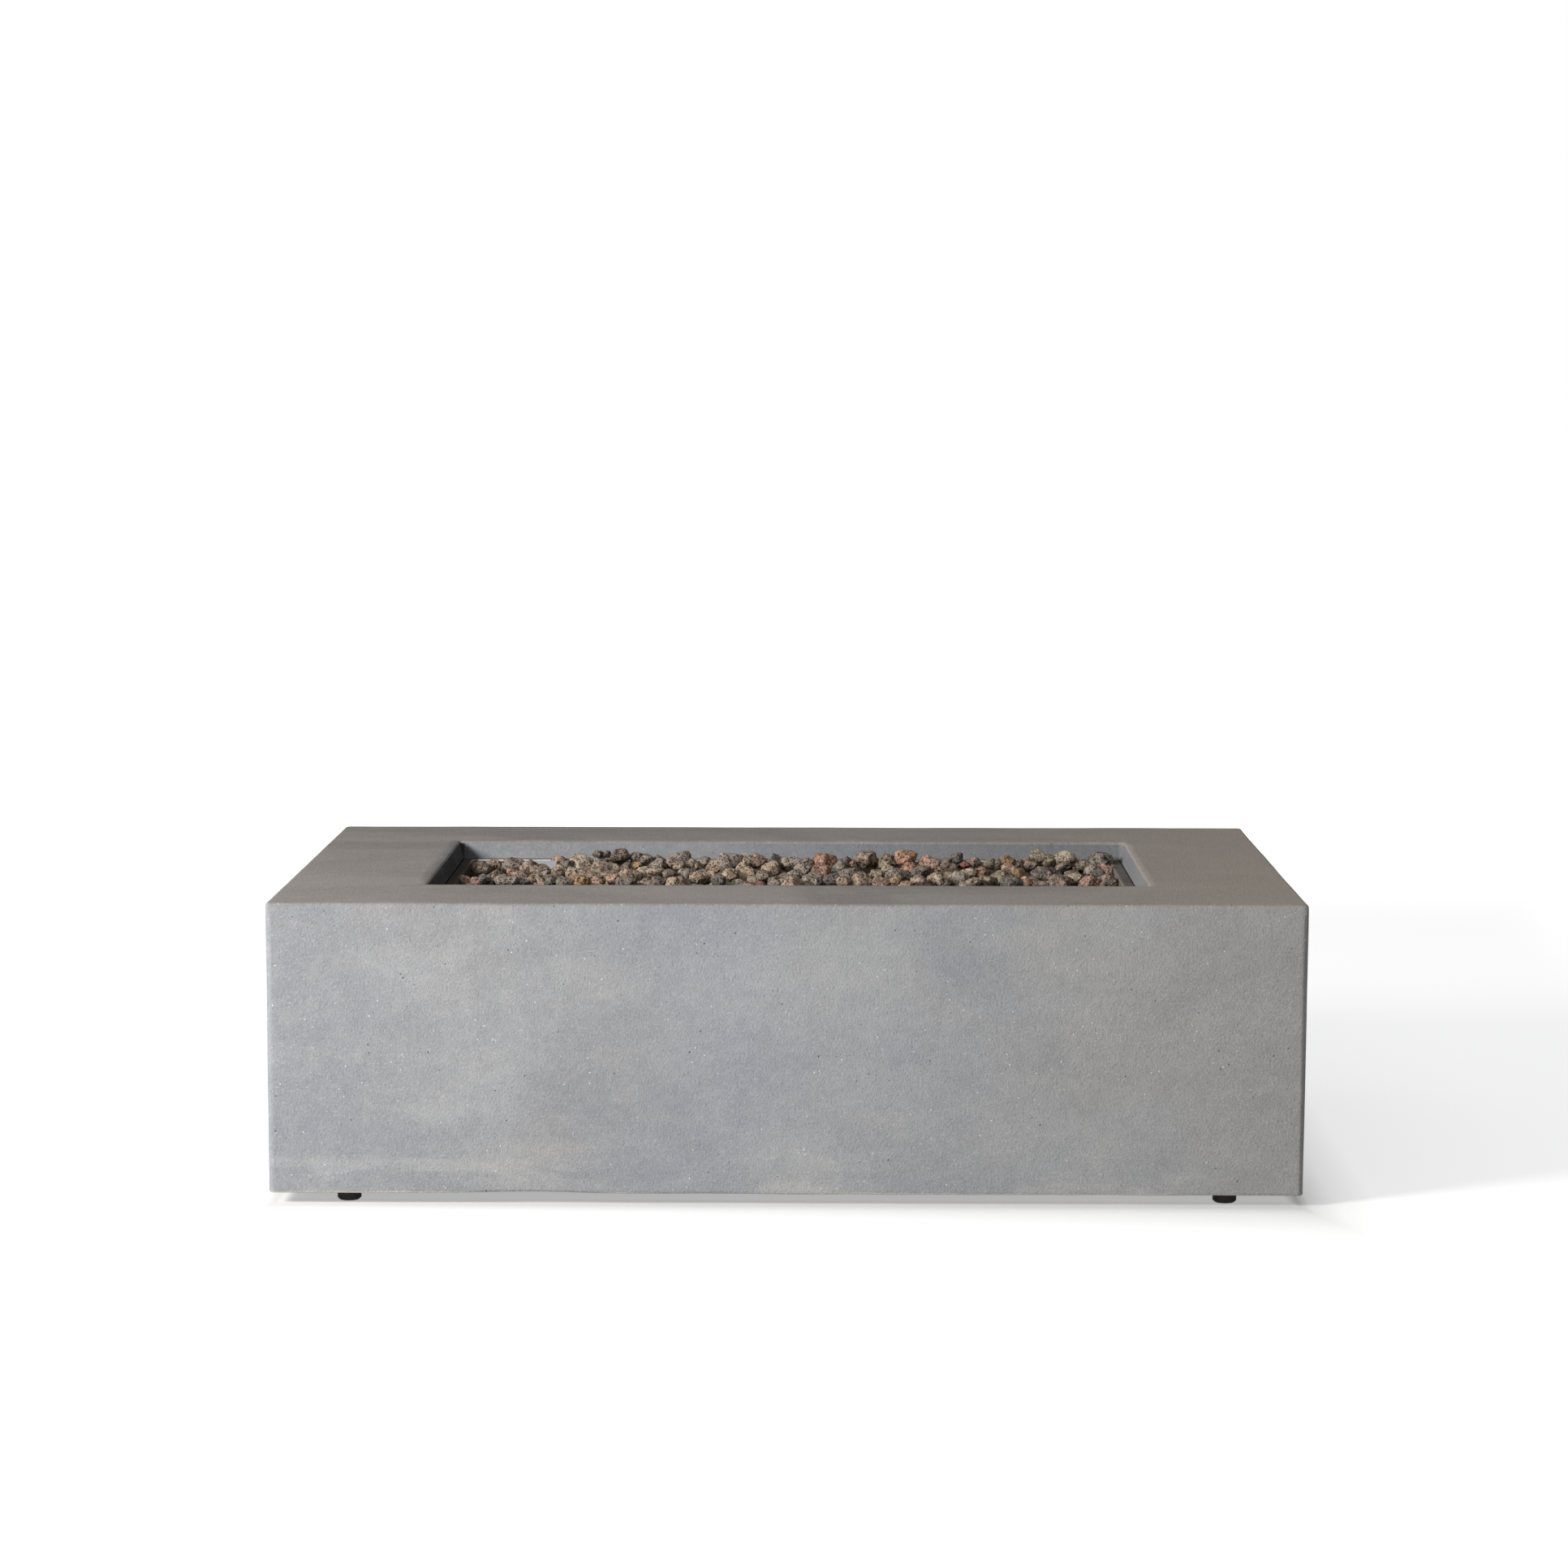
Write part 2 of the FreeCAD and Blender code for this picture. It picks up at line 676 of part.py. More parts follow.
def h_burner():
    """Two closed legs joined by a cross tube, with a hub in the middle and a row of slots on top."""
    body = new_body("h_burner")
    legs = sketch_on(body, "YZ_Plane")
    for side in (-1, 1):
        circle(legs, f"{side} * leg_y", "leg_z", "leg_radius")
    pad(body, legs, "leg_length", both_ways=True)
    bridge = sketch_on(body, "XZ_Plane", y="leg_z")
    circle(bridge, "0", "0", "leg_radius")
    pad(body, bridge, "leg_spacing", both_ways=True)
    hub = sketch_on(body, "XY_Plane", z="hub_bottom")
    circle(hub, "0", "0", "hub_radius")
    pad(body, hub, "leg_top - hub_bottom")
    bores = sketch_on(body, "YZ_Plane")
    for side in (-1, 1):
        circle(bores, f"{side} * leg_y", "leg_z", "leg_radius - leg_wall")
    pocket(body, bores, "leg_length - 2 * leg_wall", both_ways=True)
    way = sketch_on(body, "XZ_Plane", y="leg_z")
    circle(way, "0", "0", "leg_radius - leg_wall")
    pocket(body, way, "leg_spacing", both_ways=True)
    inlet = sketch_on(body, "XY_Plane", z="hub_bottom")
    circle(inlet, "0", "0", "nipple_radius + thread_gap")
    pocket(body, inlet, "nipple_grip", forwards=True)

    first = sketch_on(body, "XY_Plane", x="port_pitch / 2 - ports_half_run", z="leg_top + cut_past")
    for side in (-1, 1):
        rectangle(first, "-port_length / 2", "port_length / 2", f"{side} * leg_y - port_width / 2",
                  f"{side} * leg_y + port_width / 2")
    port = pocket(body, first, "leg_wall + 2 * cut_past")
    document.recompute()
    row = body.newObject("PartDesign::LinearPattern", "port row")
    row.Originals = [port]
    row.Direction = (first, ["H_Axis"])
    bind(row, Length="2 * ports_half_run - port_pitch", Occurrences="port_count")
    body.Tip = row
    return node(body, "h_burner")


def burner_saddles():
    saddles = []
    for side_x in (-1, 1):
        for side_y in (-1, 1):
            x = f"{side_x} * saddle_spacing / 2"
            y = f"{side_y} * leg_y"
            post = block("saddle post", "saddle_length", "2 * leg_radius", "leg_lift + saddle_cover", x, y,
                         "pan_floor")
            seat = cylinder("saddle seat", "+X", "leg_radius + thread_gap", "saddle_length + 2 * cut_past",
                            f"{x} - saddle_length / 2 - cut_past", y, "leg_z")
            slot = block("saddle slot", "saddle_length + 2 * cut_past", "leg_radius", "leg_lift - 2 * pan_sheet",
                         x, y, "pan_floor + pan_sheet")
            saddles.append(cut("saddle", post, [seat, slot]))
    return node(group("saddles", saddles), "burner_saddles")


def burner_nipple():
    pipe = cylinder("nipple pipe", "+Z", "nipple_radius", "nipple_top - nipple_bottom", "0", "0", "nipple_bottom")
    bore = cylinder("nipple way", "+Z", "nipple_bore", "nipple_top - nipple_bottom + 2 * cut_past", "0", "0",
                    "nipple_bottom - cut_past")
    return node(cut("nipple", pipe, [bore]), "burner_nipple")


def pan_locknuts():
    nuts = []
    for name, z in (("upper", "pan_floor"), ("lower", "pan_under - locknut_thickness")):
        nut = hexagon(f"{name} nut", "+Z", "locknut_radius", "locknut_thickness", "0", "0", z)
        thread = cylinder(f"{name} nut thread", "+Z", "nipple_radius + thread_gap",
                          "locknut_thickness + 2 * cut_past", "0", "0", f"{z} - cut_past")
        nuts.append(cut(f"{name} locknut", nut, [thread]))
    return node(group("locknuts", nuts), "pan_locknuts")


# The gas way

THROUGH_FITTING = "flare_length + fitting_hex_length + spigot_length + 2 * cut_past"


def air_mixer():
    """A tube with air slots near its lower end, screwed on to the nipple."""
    barrel = cylinder("mixer barrel", "+Z", "mixer_radius", "mixer_length", "0", "0", "mixer_bottom")
    socket = cylinder("mixer socket", "+Z", "nipple_radius + thread_gap", "nipple_grip + cut_past", "0", "0",
                      "mixer_top - nipple_grip")
    throat = cylinder("mixer throat", "+Z", "nipple_bore", "mixer_length", "0", "0",
                      "mixer_bottom + spigot_length")
    thread = cylinder("mixer thread", "+Z", "spigot_radius + thread_gap", "spigot_length + 2 * cut_past", "0", "0",
                      "mixer_bottom - cut_past")
    across = "2 * (mixer_radius + cut_past)"
    slots = [
        block("air slot", across, "mixer_slot", "mixer_slot_height", "0", "0", "mixer_bottom + mixer_slot_rise"),
        block("cross slot", "mixer_slot", across, "mixer_slot_height", "0", "0", "mixer_bottom + mixer_slot_rise"),
    ]
    return node(cut("mixer", barrel, [socket, throat, thread] + slots), "air_mixer")


def flare_fitting(name, x, y, shoulder):
    """A hex fitting: spigot up, flare thread down, with a bore right through."""
    spigot = cylinder(f"{name} spigot", "+Z", "spigot_radius", "spigot_length + cut_past", x, y,
                      f"{shoulder} - cut_past")
    hexed = hexagon(f"{name} hex", "-Z", "fitting_hex", "fitting_hex_length", x, y, shoulder)
    flare = cylinder(f"{name} flare", "-Z", "flare_radius", "flare_length + cut_past", x, y,
                     f"{shoulder} - fitting_hex_length + cut_past")
    return fuse(f"{name} blank", [spigot, hexed, flare])


def gas_orifice():
    blank = flare_fitting("orifice", "0", "0", "mixer_bottom")
    jet = cylinder("orifice jet", "+Z", "jet_radius", THROUGH_FITTING, "0", "0", "orifice_end - cut_past")
    way = cylinder("orifice way", "+Z", "gas_bore", "flare_length + cut_past", "0", "0", "orifice_end - cut_past")
    return node(cut("orifice", blank, [jet, way]), "gas_orifice")


def gas_inlet_fitting():
    blank = flare_fitting("inlet", "inlet_x", "valve_y", "inlet_z")
    way = cylinder("inlet way", "+Z", "gas_bore", THROUGH_FITTING, "inlet_x", "valve_y", "inlet_end - cut_past")
    return node(cut("inlet", blank, [way]), "gas_inlet_fitting")


def flare_nut(name, axis, x, y, z, taken_x, taken_z):
    """A nut over a flare thread, with the hose through its other end."""
    hexed = hexagon(f"{name} hex", axis, "nut_radius", "nut_length", x, y, z)
    thread = cylinder(f"{name} thread", axis, "flare_radius + thread_gap", "flare_length + cut_past",
                      f"{x} - {taken_x}", y, f"{z} + {taken_z}")
    way = cylinder(f"{name} hose way", axis, "hose_radius + thread_gap", "nut_length + 2 * cut_past",
                   f"{x} - {taken_x}", y, f"{z} + {taken_z}")
    return cut(name, hexed, [thread, way])


def flare_nuts():
    nuts = [
        flare_nut("hose nut at valve", "+X", "valve_end", "valve_y", "control_height", "cut_past", 0),
        flare_nut("hose nut at mixer", "-Z", "0", "0", "orifice_shoulder", 0, "cut_past"),
    ]
    return node(group("hose nuts", nuts), "flare_nuts")


def rounded_route(points):
    """Straight runs joined by arcs, each arc as large as its two runs allow."""
    edges = []
    start = points[0]
    for before, corner, after in zip(points, points[1:], points[2:]):
        inward = (before - corner).normalize()
        outward = (after - corner).normalize()
        reach = 0.45 * min((before - corner).Length, (after - corner).Length)
        half_turn = (math.pi - inward.getAngle(outward)) / 2
        radius = reach / math.tan(half_turn)
        middle_way = (inward + outward).normalize()
        middle = corner + middle_way * (radius / math.cos(half_turn) - radius)
        first = corner + inward * reach
        last = corner + outward * reach
        edges.append(Part.LineSegment(start, first).toShape())
        edges.append(Part.Arc(first, middle, last).toShape())
        start = last
        print("bend radius", round(radius, 1))
    edges.append(Part.LineSegment(start, points[-1]).toShape())
    return Part.Wire(edges)


def tube_along(name, points, radius, sides):
    """A many-sided solid swept along the route, checked against its section times its length."""
    route = rounded_route(points)
    forward = (points[1] - points[0]).normalize()
    across = forward.cross(Vector(0, 1, 0) if abs(forward.y) < 0.5 else Vector(1, 0, 0)).normalize()
    turn = FreeCAD.Rotation(forward, 360 / sides)
    corners = [points[0] + across * radius]
    for _ in range(sides - 1):
        across = turn.multVec(across)
        corners.append(points[0] + across * radius)
    tube = route.makePipeShell([Part.makePolygon(corners + corners[:1])], True, False)
    expected = sides / 2 * radius ** 2 * math.sin(2 * math.pi / sides) * route.Length
    print(name, "length", round(route.Length), "volume", round(tube.Volume / expected, 3))
    part = document.addObject("Part::Feature", name)
    part.Shape = tube
    return part


def flex_gas_line():
    """The corrugated hose from the valve, sagging under the pan and up into the mixer."""
    y = size("valve_y")
    start = Vector(size("valve_outlet"), y, size("control_height"))
    end = Vector(0, 0, size("orifice_end"))
    run = end.x - start.x
    sag = size("hose_sag")
    low = min(start.z, end.z) - sag
    points = [
        start,
        start + Vector(0.17 * run, 0, 0),
        Vector(start.x + 0.42 * run, y, low + 0.35 * sag),
        Vector(start.x + 0.66 * run, 0.8 * y, low),
        Vector(end.x - 0.14 * run, 0.3 * y, low),
        end - Vector(0, 0, 0.62 * sag),
        end,
    ]
    return node(tube_along("flex_gas_line", points, size("hose_radius"), 12), "flex_gas_line")


# The valve and its knob

def gas_valve():
    barrel = cylinder("valve barrel", "+X", "valve_radius", "valve_length", "plate_back", "valve_y", "control_height")
    bonnet = cylinder("valve bonnet", "-X", "bonnet_radius", "plate_back - bonnet_end + cut_past",
                      "plate_back + cut_past", "valve_y", "control_height")
    inlet = block("valve inlet", "inlet_boss_length", "inlet_boss_width", "valve_radius + inlet_boss", "inlet_x",
                  "valve_y", "inlet_z")
    outlet = cylinder("valve flare", "+X", "flare_radius", "flare_length + cut_past", "valve_end - cut_past",
                      "valve_y", "control_height")
    port = cylinder("lead boss", "+Z", "lead_boss_radius", "valve_radius + lead_boss_height", "inlet_x",
                    "valve_y", "control_height")
    blank = fuse("valve blank", [barrel, bonnet, inlet, outlet, port])
    stem_bore = cylinder("stem bore", "+X", "stem_radius + running_gap", "stem_bore_end - bonnet_end + cut_past",
                         "bonnet_end - cut_past", "valve_y", "control_height")
    rod_bore = cylinder("rod bore", "+X", "rod_radius + running_gap", "rod_bore_end - stem_bore_end + cut_past",
                        "stem_bore_end - cut_past", "valve_y", "control_height")
    inlet_bore = cylinder("inlet bore", "+Z", "spigot_radius + thread_gap", "spigot_length + cut_past", "inlet_x",
                          "valve_y", "inlet_z - cut_past")
    return node(cut("valve", blank, [stem_bore, rod_bore, inlet_bore]), "gas_valve")


def valve_nut():
    hexed = hexagon("bonnet nut hex", "-X", "bonnet_nut_radius", "bonnet_nut", "plate_front", "valve_y",
                    "control_height")
    thread = cylinder("bonnet nut thread", "-X", "bonnet_radius + thread_gap", "bonnet_nut + 2 * cut_past",
                      "plate_front + cut_past", "valve_y", "control_height")
    return node(cut("bonnet nut", hexed, [thread]), "valve_nut")


def valve_push_rod():
    rod = cylinder("push rod", "+X", "rod_radius", "rod_length", "rod_front", "valve_y", "control_height")
    return node(rod, "valve_push_rod")


def valve_stem():
    """The turning stem, with a flat on the end that the knob fits."""
    shaft = cylinder("stem shaft", "+X", "stem_radius", "stem_back - stem_front", "stem_front", "valve_y",
                     "control_height")
    flat = block("stem flat", "knob_socket + cut_past", "2 * stem_radius", "stem_radius",
                 "stem_front + (knob_socket - cut_past) / 2", "valve_y", "control_height + stem_flat")
    return node(cut("stem", shaft, [flat]), "valve_stem")


def control_knob():
    """A fluted knob with a pointer rib and a D-shaped socket."""
    body = new_body("control_knob")
    outline = sketch_on(body, "YZ_Plane", x="valve_y", y="control_height", z="knob_front")
    circle(outline, "0", "0", "knob_radius")
    drum = pad(body, outline, "knob_length")
    front = size("knob_front")
    bevel_edges(body, drum, lambda edge: abs(edge.BoundBox.XMax - front) < 0.01, "knob_bevel")
    flute_sketch = sketch_on(body, "YZ_Plane", x="valve_y", y="control_height", z="knob_front")
    circle(flute_sketch, "knob_radius + flute_radius / 3", "0", "flute_radius")
    flute = pocket(body, flute_sketch, "flute_length", forwards=True)
    document.recompute()
    ring = body.newObject("PartDesign::PolarPattern", "flutes")
    ring.Originals = [flute]
    ring.Axis = (flute_sketch, ["N_Axis"])
    ring.Angle = 360
    bind(ring, Occurrences="flute_count")
    body.Tip = ring
    socket = sketch_on(body, "YZ_Plane", x="valve_y", y="control_height", z="knob_back")
    circle(socket, "0", "0", "stem_radius + thread_gap")
    pocket(body, socket, "knob_socket")
    key = sketch_on(body, "YZ_Plane", x="valve_y", y="control_height", z="stem_front")
    rectangle(key, "-stem_radius", "stem_radius", "stem_flat + thread_gap", "stem_radius + cut_past")
    pad(body, key, "knob_socket - cut_past")
    pointer = sketch_on(body, "YZ_Plane", x="valve_y", y="control_height", z="knob_front + pointer_root")
    rectangle(pointer, "-pointer_width / 2", "pointer_width / 2", "stem_radius", "knob_radius - flute_radius")
    pad(body, pointer, "pointer_root + pointer_height", backwards=True)
    return node(body, "control_knob")


# The control plate

def control_panel():
    body = new_body("control_panel")
    outline = sketch_on(body, "YZ_Plane", z="plate_front")
    rectangle(outline, "-plate_half_width", "plate_half_width", "control_height - plate_half_height",
              "control_height + plate_half_height")
    plate = pad(body, outline, "plate_thickness")
    round_edges(body, plate, lambda edge: abs(edge.BoundBox.XLength - size("plate_thickness")) < 0.01, "plate_corner")
    holes = sketch_on(body, "YZ_Plane", z="plate_front - cut_past")
    circle(holes, "valve_y", "control_height", "bonnet_radius + free_gap")
    circle(holes, "igniter_y", "control_height", "igniter_radius + free_gap")
    for side_y in (-1, 1):
        for side_z in (-1, 1):
            circle(holes, f"{side_y} * screw_y", f"control_height + {side_z} * screw_z", "screw_hole")
    pocket(body, holes, "plate_thickness + 2 * cut_past", forwards=True)
    return node(body, "control_panel")


def panel_screws():
    screws = []
    for side_y in (-1, 1):
        for side_z in (-1, 1):
            y = f"{side_y} * screw_y"
            z = f"control_height + {side_z} * screw_z"
            shank = cylinder("screw shank", "+X", "screw_radius", "screw_length", "plate_front", y, z)
            head = cylinder("screw head", "-X", "screw_head", "screw_head_height", "plate_front", y, z)
            screws.append(fuse("screw", [shank, head]))
    return node(group("screws", screws), "panel_screws")


def panel_inserts():
    inserts = []
    for side_y in (-1, 1):
        for side_z in (-1, 1):
            y = f"{side_y} * screw_y"
            z = f"control_height + {side_z} * screw_z"
            sleeve = hexagon("insert sleeve", "+X", "insert_radius", "insert_length", "plate_back", y, z)
            sleeve.Placement.Rotation = TURNS["+X"].multiply(QUARTER)
            thread = cylinder("insert thread", "+X", "screw_radius + thread_gap", "insert_length + 2 * cut_past",
                              "plate_back - cut_past", y, z)
            inserts.append(cut("insert", sleeve, [thread]))
    return node(group("inserts", inserts), "panel_inserts")


# The igniter

def igniter_body():
    bezel = cylinder("bezel", "+X", "bezel_radius", "bezel_thickness", "bezel_front", "igniter_y", "control_height")
    barrel = cylinder("igniter barrel", "+X", "igniter_radius", "igniter_length + bezel_thickness", "bezel_front",
                      "igniter_y", "control_height")
    blank = fuse("igniter blank", [bezel, barrel])
    button_bore = cylinder("button bore", "+X", "button_radius + running_gap",
                           "button_bore_end - bezel_front + cut_past",
                           "bezel_front - cut_past", "igniter_y", "control_height")
    battery_way = cylinder("battery way", "+X", "battery_bore", "battery_bore_end - button_bore_end + cut_past",
                           "button_bore_end - cut_past", "igniter_y", "control_height")
    return node(cut("igniter", blank, [button_bore, battery_way]), "igniter_body")


def igniter_locknut():
    hexed = hexagon("igniter nut hex", "+X", "igniter_nut_radius", "igniter_nut_length", "plate_back", "igniter_y",
                    "control_height")
    thread = cylinder("igniter nut thread", "+X", "igniter_radius + thread_gap", "igniter_nut_length + 2 * cut_past",
                      "plate_back - cut_past", "igniter_y", "control_height")
    return node(cut("igniter nut", hexed, [thread]), "igniter_locknut")


def igniter_battery():
    case = cylinder("battery case", "-X", "battery_radius", "battery_length - battery_pip_height",
                    "battery_bore_end", "igniter_y", "control_height")
    pip = cylinder("battery pip", "-X", "battery_pip", "battery_length", "battery_bore_end", "igniter_y",
                   "control_height")
    return node(fuse("battery", [case, pip]), "igniter_battery")


def igniter_button():
    cap = cylinder("button cap", "+X", "button_radius", "button_length", "button_front", "igniter_y",
                   "control_height")
    front = size("button_front")
    crown = bevelled("button crown", cap, lambda edge: edge.BoundBox.XMax < front + 0.01, "button_bevel")
    return node(crown, "igniter_button")


# The electrode, the thermocouple and their hood

def igniter_bracket():
    body = new_body("igniter_bracket")
    base = sketch_on(body, "XY_Plane", z="pan_floor")
    rectangle(base, "hood_x - bracket_length / 2", "hood_x + bracket_length / 2", "hood_y - bracket_width / 2",
              "hood_y + bracket_width / 2")
    pad(body, base, "pan_sheet")
    collars = sketch_on(body, "XY_Plane", z="pan_floor")
    circle(collars, "electrode_x", "hood_y", "insulator_radius + collar_wall")
    circle(collars, "probe_x", "hood_y", "probe_radius + collar_wall")
    pad(body, collars, "collar_height")
    holes = sketch_on(body, "XY_Plane", z="pan_floor + collar_height + cut_past")
    circle(holes, "electrode_x", "hood_y", "insulator_radius + thread_gap")
    circle(holes, "probe_x", "hood_y", "probe_radius + thread_gap")
    for side in (-1, 1):
        circle(holes, f"hood_x + {side} * bracket_screw_spacing / 2", "bracket_screw_y",
               "bracket_screw_radius + thread_gap")
    pocket(body, holes, "collar_height + 2 * cut_past")
    return node(body, "igniter_bracket")


def bracket_screws():
    screws = []
    for side in (-1, 1):
        x = f"hood_x + {side} * bracket_screw_spacing / 2"
        y = "bracket_screw_y"
        shank = cylinder("bracket screw shank", "-Z", "bracket_screw_radius", "bracket_screw_length", x, y,
                         "bracket_top")
        head = hexagon("bracket screw head", "+Z", "bracket_screw_head", "bracket_head_height", x, y, "bracket_top")
        screws.append(fuse("bracket screw", [shank, head]))
    return node(group("bracket fixings", screws), "bracket_screws")


def electrode_insulator():
    """The ceramic sleeve, with a shoulder that rests on the bracket's collar."""
    rod = cylinder("ceramic rod", "+Z", "insulator_radius", "insulator_high - insulator_low", "electrode_x",
                   "hood_y", "insulator_low")
    shoulder = cylinder("ceramic shoulder", "+Z", "insulator_radius + collar_wall", "shoulder_height",
                        "electrode_x", "hood_y", "pan_floor + collar_height")
    return node(fuse("ceramic", [rod, shoulder]), "electrode_insulator")


def electrode_tip():
    """The spark wire, bent over towards the burner leg."""
    foot = Vector(size("electrode_x"), size("hood_y"), size("insulator_high"))
    rise = Vector(0, 0, size("tip_rise"))
    points = [foot, foot + rise, foot + rise - Vector(0, size("tip_reach"), 0)]
    return node(tube_along("electrode_tip", points, size("tip_radius"), 8), "electrode_tip")


def thermocouple_probe():
    rod = cylinder("probe rod", "+Z", "probe_radius", "probe_high - probe_low", "probe_x", "hood_y", "probe_low")
    shoulder = cylinder("probe shoulder", "+Z", "probe_radius + collar_wall", "shoulder_height", "probe_x",
                        "hood_y", "pan_floor + collar_height")
    return node(fuse("probe", [rod, shoulder]), "thermocouple_probe")


def ignition_hood():
    """A folded wind shield, open below and towards the burner, with a roof that falls to the front."""
    body = new_body("ignition_hood")
    shell = sketch_on(body, "YZ_Plane", z="hood_x")
    rough_back, rough_front, rough_low, rough_high = 170.0, 134.0, 300.0, 361.0
    polygon(shell, [
        (("hood_front + hood_width", rough_back), ("pan_floor", rough_low)),
        (("hood_front + hood_width", rough_back), ("hood_top", rough_high)),
        (("hood_front", rough_front), ("hood_top - hood_fall", rough_high - size("hood_fall"))),
        (("hood_front", rough_front), ("pan_floor", rough_low)),
    ])
    pad(body, shell, "hood_length", both_ways=True)
    inside = sketch_on(body, "YZ_Plane", z="hood_x")
    polygon(inside, [
        (("hood_front + hood_width - hood_sheet", rough_back), ("pan_floor - cut_past", rough_low)),
        (("hood_front + hood_width - hood_sheet", rough_back), ("hood_top - 1.2 * hood_sheet", rough_high)),
        (("hood_front + hood_sheet", rough_front),
         ("hood_top - hood_fall - hood_sheet", rough_high - size("hood_fall"))),
        (("hood_front + hood_sheet", rough_front), ("pan_floor - cut_past", rough_low)),
    ])
    pocket(body, inside, "hood_length - 2 * hood_sheet", both_ways=True)
    mouth = sketch_on(body, "XZ_Plane", x="hood_x", z="cut_past - hood_front")
    rectangle(mouth, "-hood_length / 2 + 2 * hood_sheet", "hood_length / 2 - 2 * hood_sheet",
              "pan_floor - cut_past", "hood_top - hood_fall - hood_lip")
    pocket(body, mouth, "hood_sheet + 2 * cut_past")
    return node(body, "ignition_hood")


def electrode_wire():
    start = Vector(size("igniter_end"), size("igniter_y"), size("control_height"))
    end = Vector(size("electrode_x"), size("hood_y"), size("insulator_low"))
    points = [
        start,
        start + Vector(46, 0, 0),
        Vector(end.x - 60, end.y - 50, start.z + 4),
        Vector(end.x, end.y, end.z - 40),
        end,
    ]
    return node(tube_along("electrode_wire", points, size("wire_radius"), 8), "electrode_wire")


def thermocouple_lead():
    start = Vector(size("inlet_x"), size("valve_y"), size("lead_boss_top"))
    end = Vector(size("probe_x"), size("hood_y"), size("probe_low"))
    points = [
        start,
        start + Vector(0, 0, 44),
        start + Vector(100, 66, 34),
        Vector(end.x - 34, end.y - 22, end.z - 54),
        Vector(end.x, end.y, end.z - 34),
        end,
    ]
    return node(tube_along("thermocouple_lead", points, size("lead_radius"), 8), "thermocouple_lead")


# The levelling feet

def foot_inserts():
    inserts = []
    for side_x, side_y in CORNERS.values():
        x = f"{side_x} * foot_x"
        y = f"{side_y} * foot_y"
        sleeve = hexagon("foot nut sleeve", "+Z", "foot_insert_radius", "foot_insert_length", x, y, "foot_gap")
        thread = cylinder("foot nut thread", "+Z", "stud_radius + thread_gap", "foot_insert_length + 2 * cut_past",
                          x, y, "foot_gap - cut_past")
        inserts.append(cut("foot nut", sleeve, [thread]))
    return node(group("foot nuts", inserts), "foot_inserts")


def foot_stud(corner, side_x, side_y):
    """A threaded stud with a flange to turn it by and a disc that is held in the pad."""
    x = f"{side_x} * foot_x"
    y = f"{side_y} * foot_y"
    rod = cylinder("stud rod", "+Z", "stud_radius", "stud_top - foot_sole - free_gap", x, y,
                   "foot_sole + free_gap")
    flange = hexagon("stud flange", "+Z", "stud_flange_radius", "stud_flange", x, y,
                     "foot_gap - free_gap - stud_flange")
    disc = cylinder("stud disc", "+Z", "stud_disc_radius", "stud_disc", x, y, "foot_sole + free_gap")
    return node(fuse("stud", [rod, flange, disc]), f"foot_stud_{corner}")


def foot_pad(corner, side_x, side_y):
    """A round glide with a bevelled lower edge and a socket that holds the stud's disc."""
    x = f"{side_x} * foot_x"
    y = f"{side_y} * foot_y"
    glide = cylinder("glide", "+Z", "foot_radius", "foot_height", x, y, "0")
    softened = bevelled("softened glide", glide, lambda edge: edge.BoundBox.ZMax < 0.01, "foot_edge")
    socket = cylinder("glide socket", "+Z", "stud_disc_radius + free_gap", "stud_disc + 2 * free_gap", x, y,
                      "foot_sole")
    throat = cylinder("glide throat", "+Z", "stud_radius + free_gap", "foot_height", x, y, "foot_sole")
    return node(cut("pad", softened, [socket, throat]), f"foot_pad_{corner}")


# The lava rock

def clip(faces, normal, offset):
    """Keep the part of a convex solid that lies below a plane; faces are loops of corners."""
    kept = []
    rim = []
    for face in faces:
        loop = []
        for a, b in zip(face, face[1:] + face[:1]):
            above_a = a.dot(normal) - offset
            above_b = b.dot(normal) - offset
            if above_a <= 0:
                loop.append(a)
            if above_a * above_b < 0:
                crossing = a + (b - a) * (above_a / (above_a - above_b))
                loop.append(crossing)
                rim.append(crossing)
        if len(loop) > 2:
            kept.append(loop)
    corners = []
    for point in rim:
        if all((point - other).Length > 0.001 for other in corners):
            corners.append(point)
    if len(corners) > 2:
        centre = sum(corners, Vector()) * (1 / len(corners))
        across = (corners[0] - centre).normalize()
        along = normal.cross(across)
        corners.sort(key=lambda p: math.atan2((p - centre).dot(along), (p - centre).dot(across)))
        kept.append(corners)
    return kept


def shortest_edge(faces):
    return min(((a - b).Length for face in faces for a, b in zip(face, face[1:] + face[:1])), default=0)


def cut_away(faces, normal, offset):
    """Clip, moving the plane a little further in while it would leave a very short edge."""
    for step in range(12):
        result = clip(faces, normal, offset - 0.45 * step)
        if not result or shortest_edge(result) > 0.8:
            return result
    return result


def box_faces(low, high):
    c = [Vector(x, y, z) for z in (low.z, high.z) for y in (low.y, high.y) for x in (low.x, high.x)]
    loops = [(0, 2, 3, 1), (4, 5, 7, 6), (0, 1, 5, 4), (2, 6, 7, 3), (0, 4, 6, 2), (1, 3, 7, 5)]
    return [[c[i] for i in loop] for loop in loops]


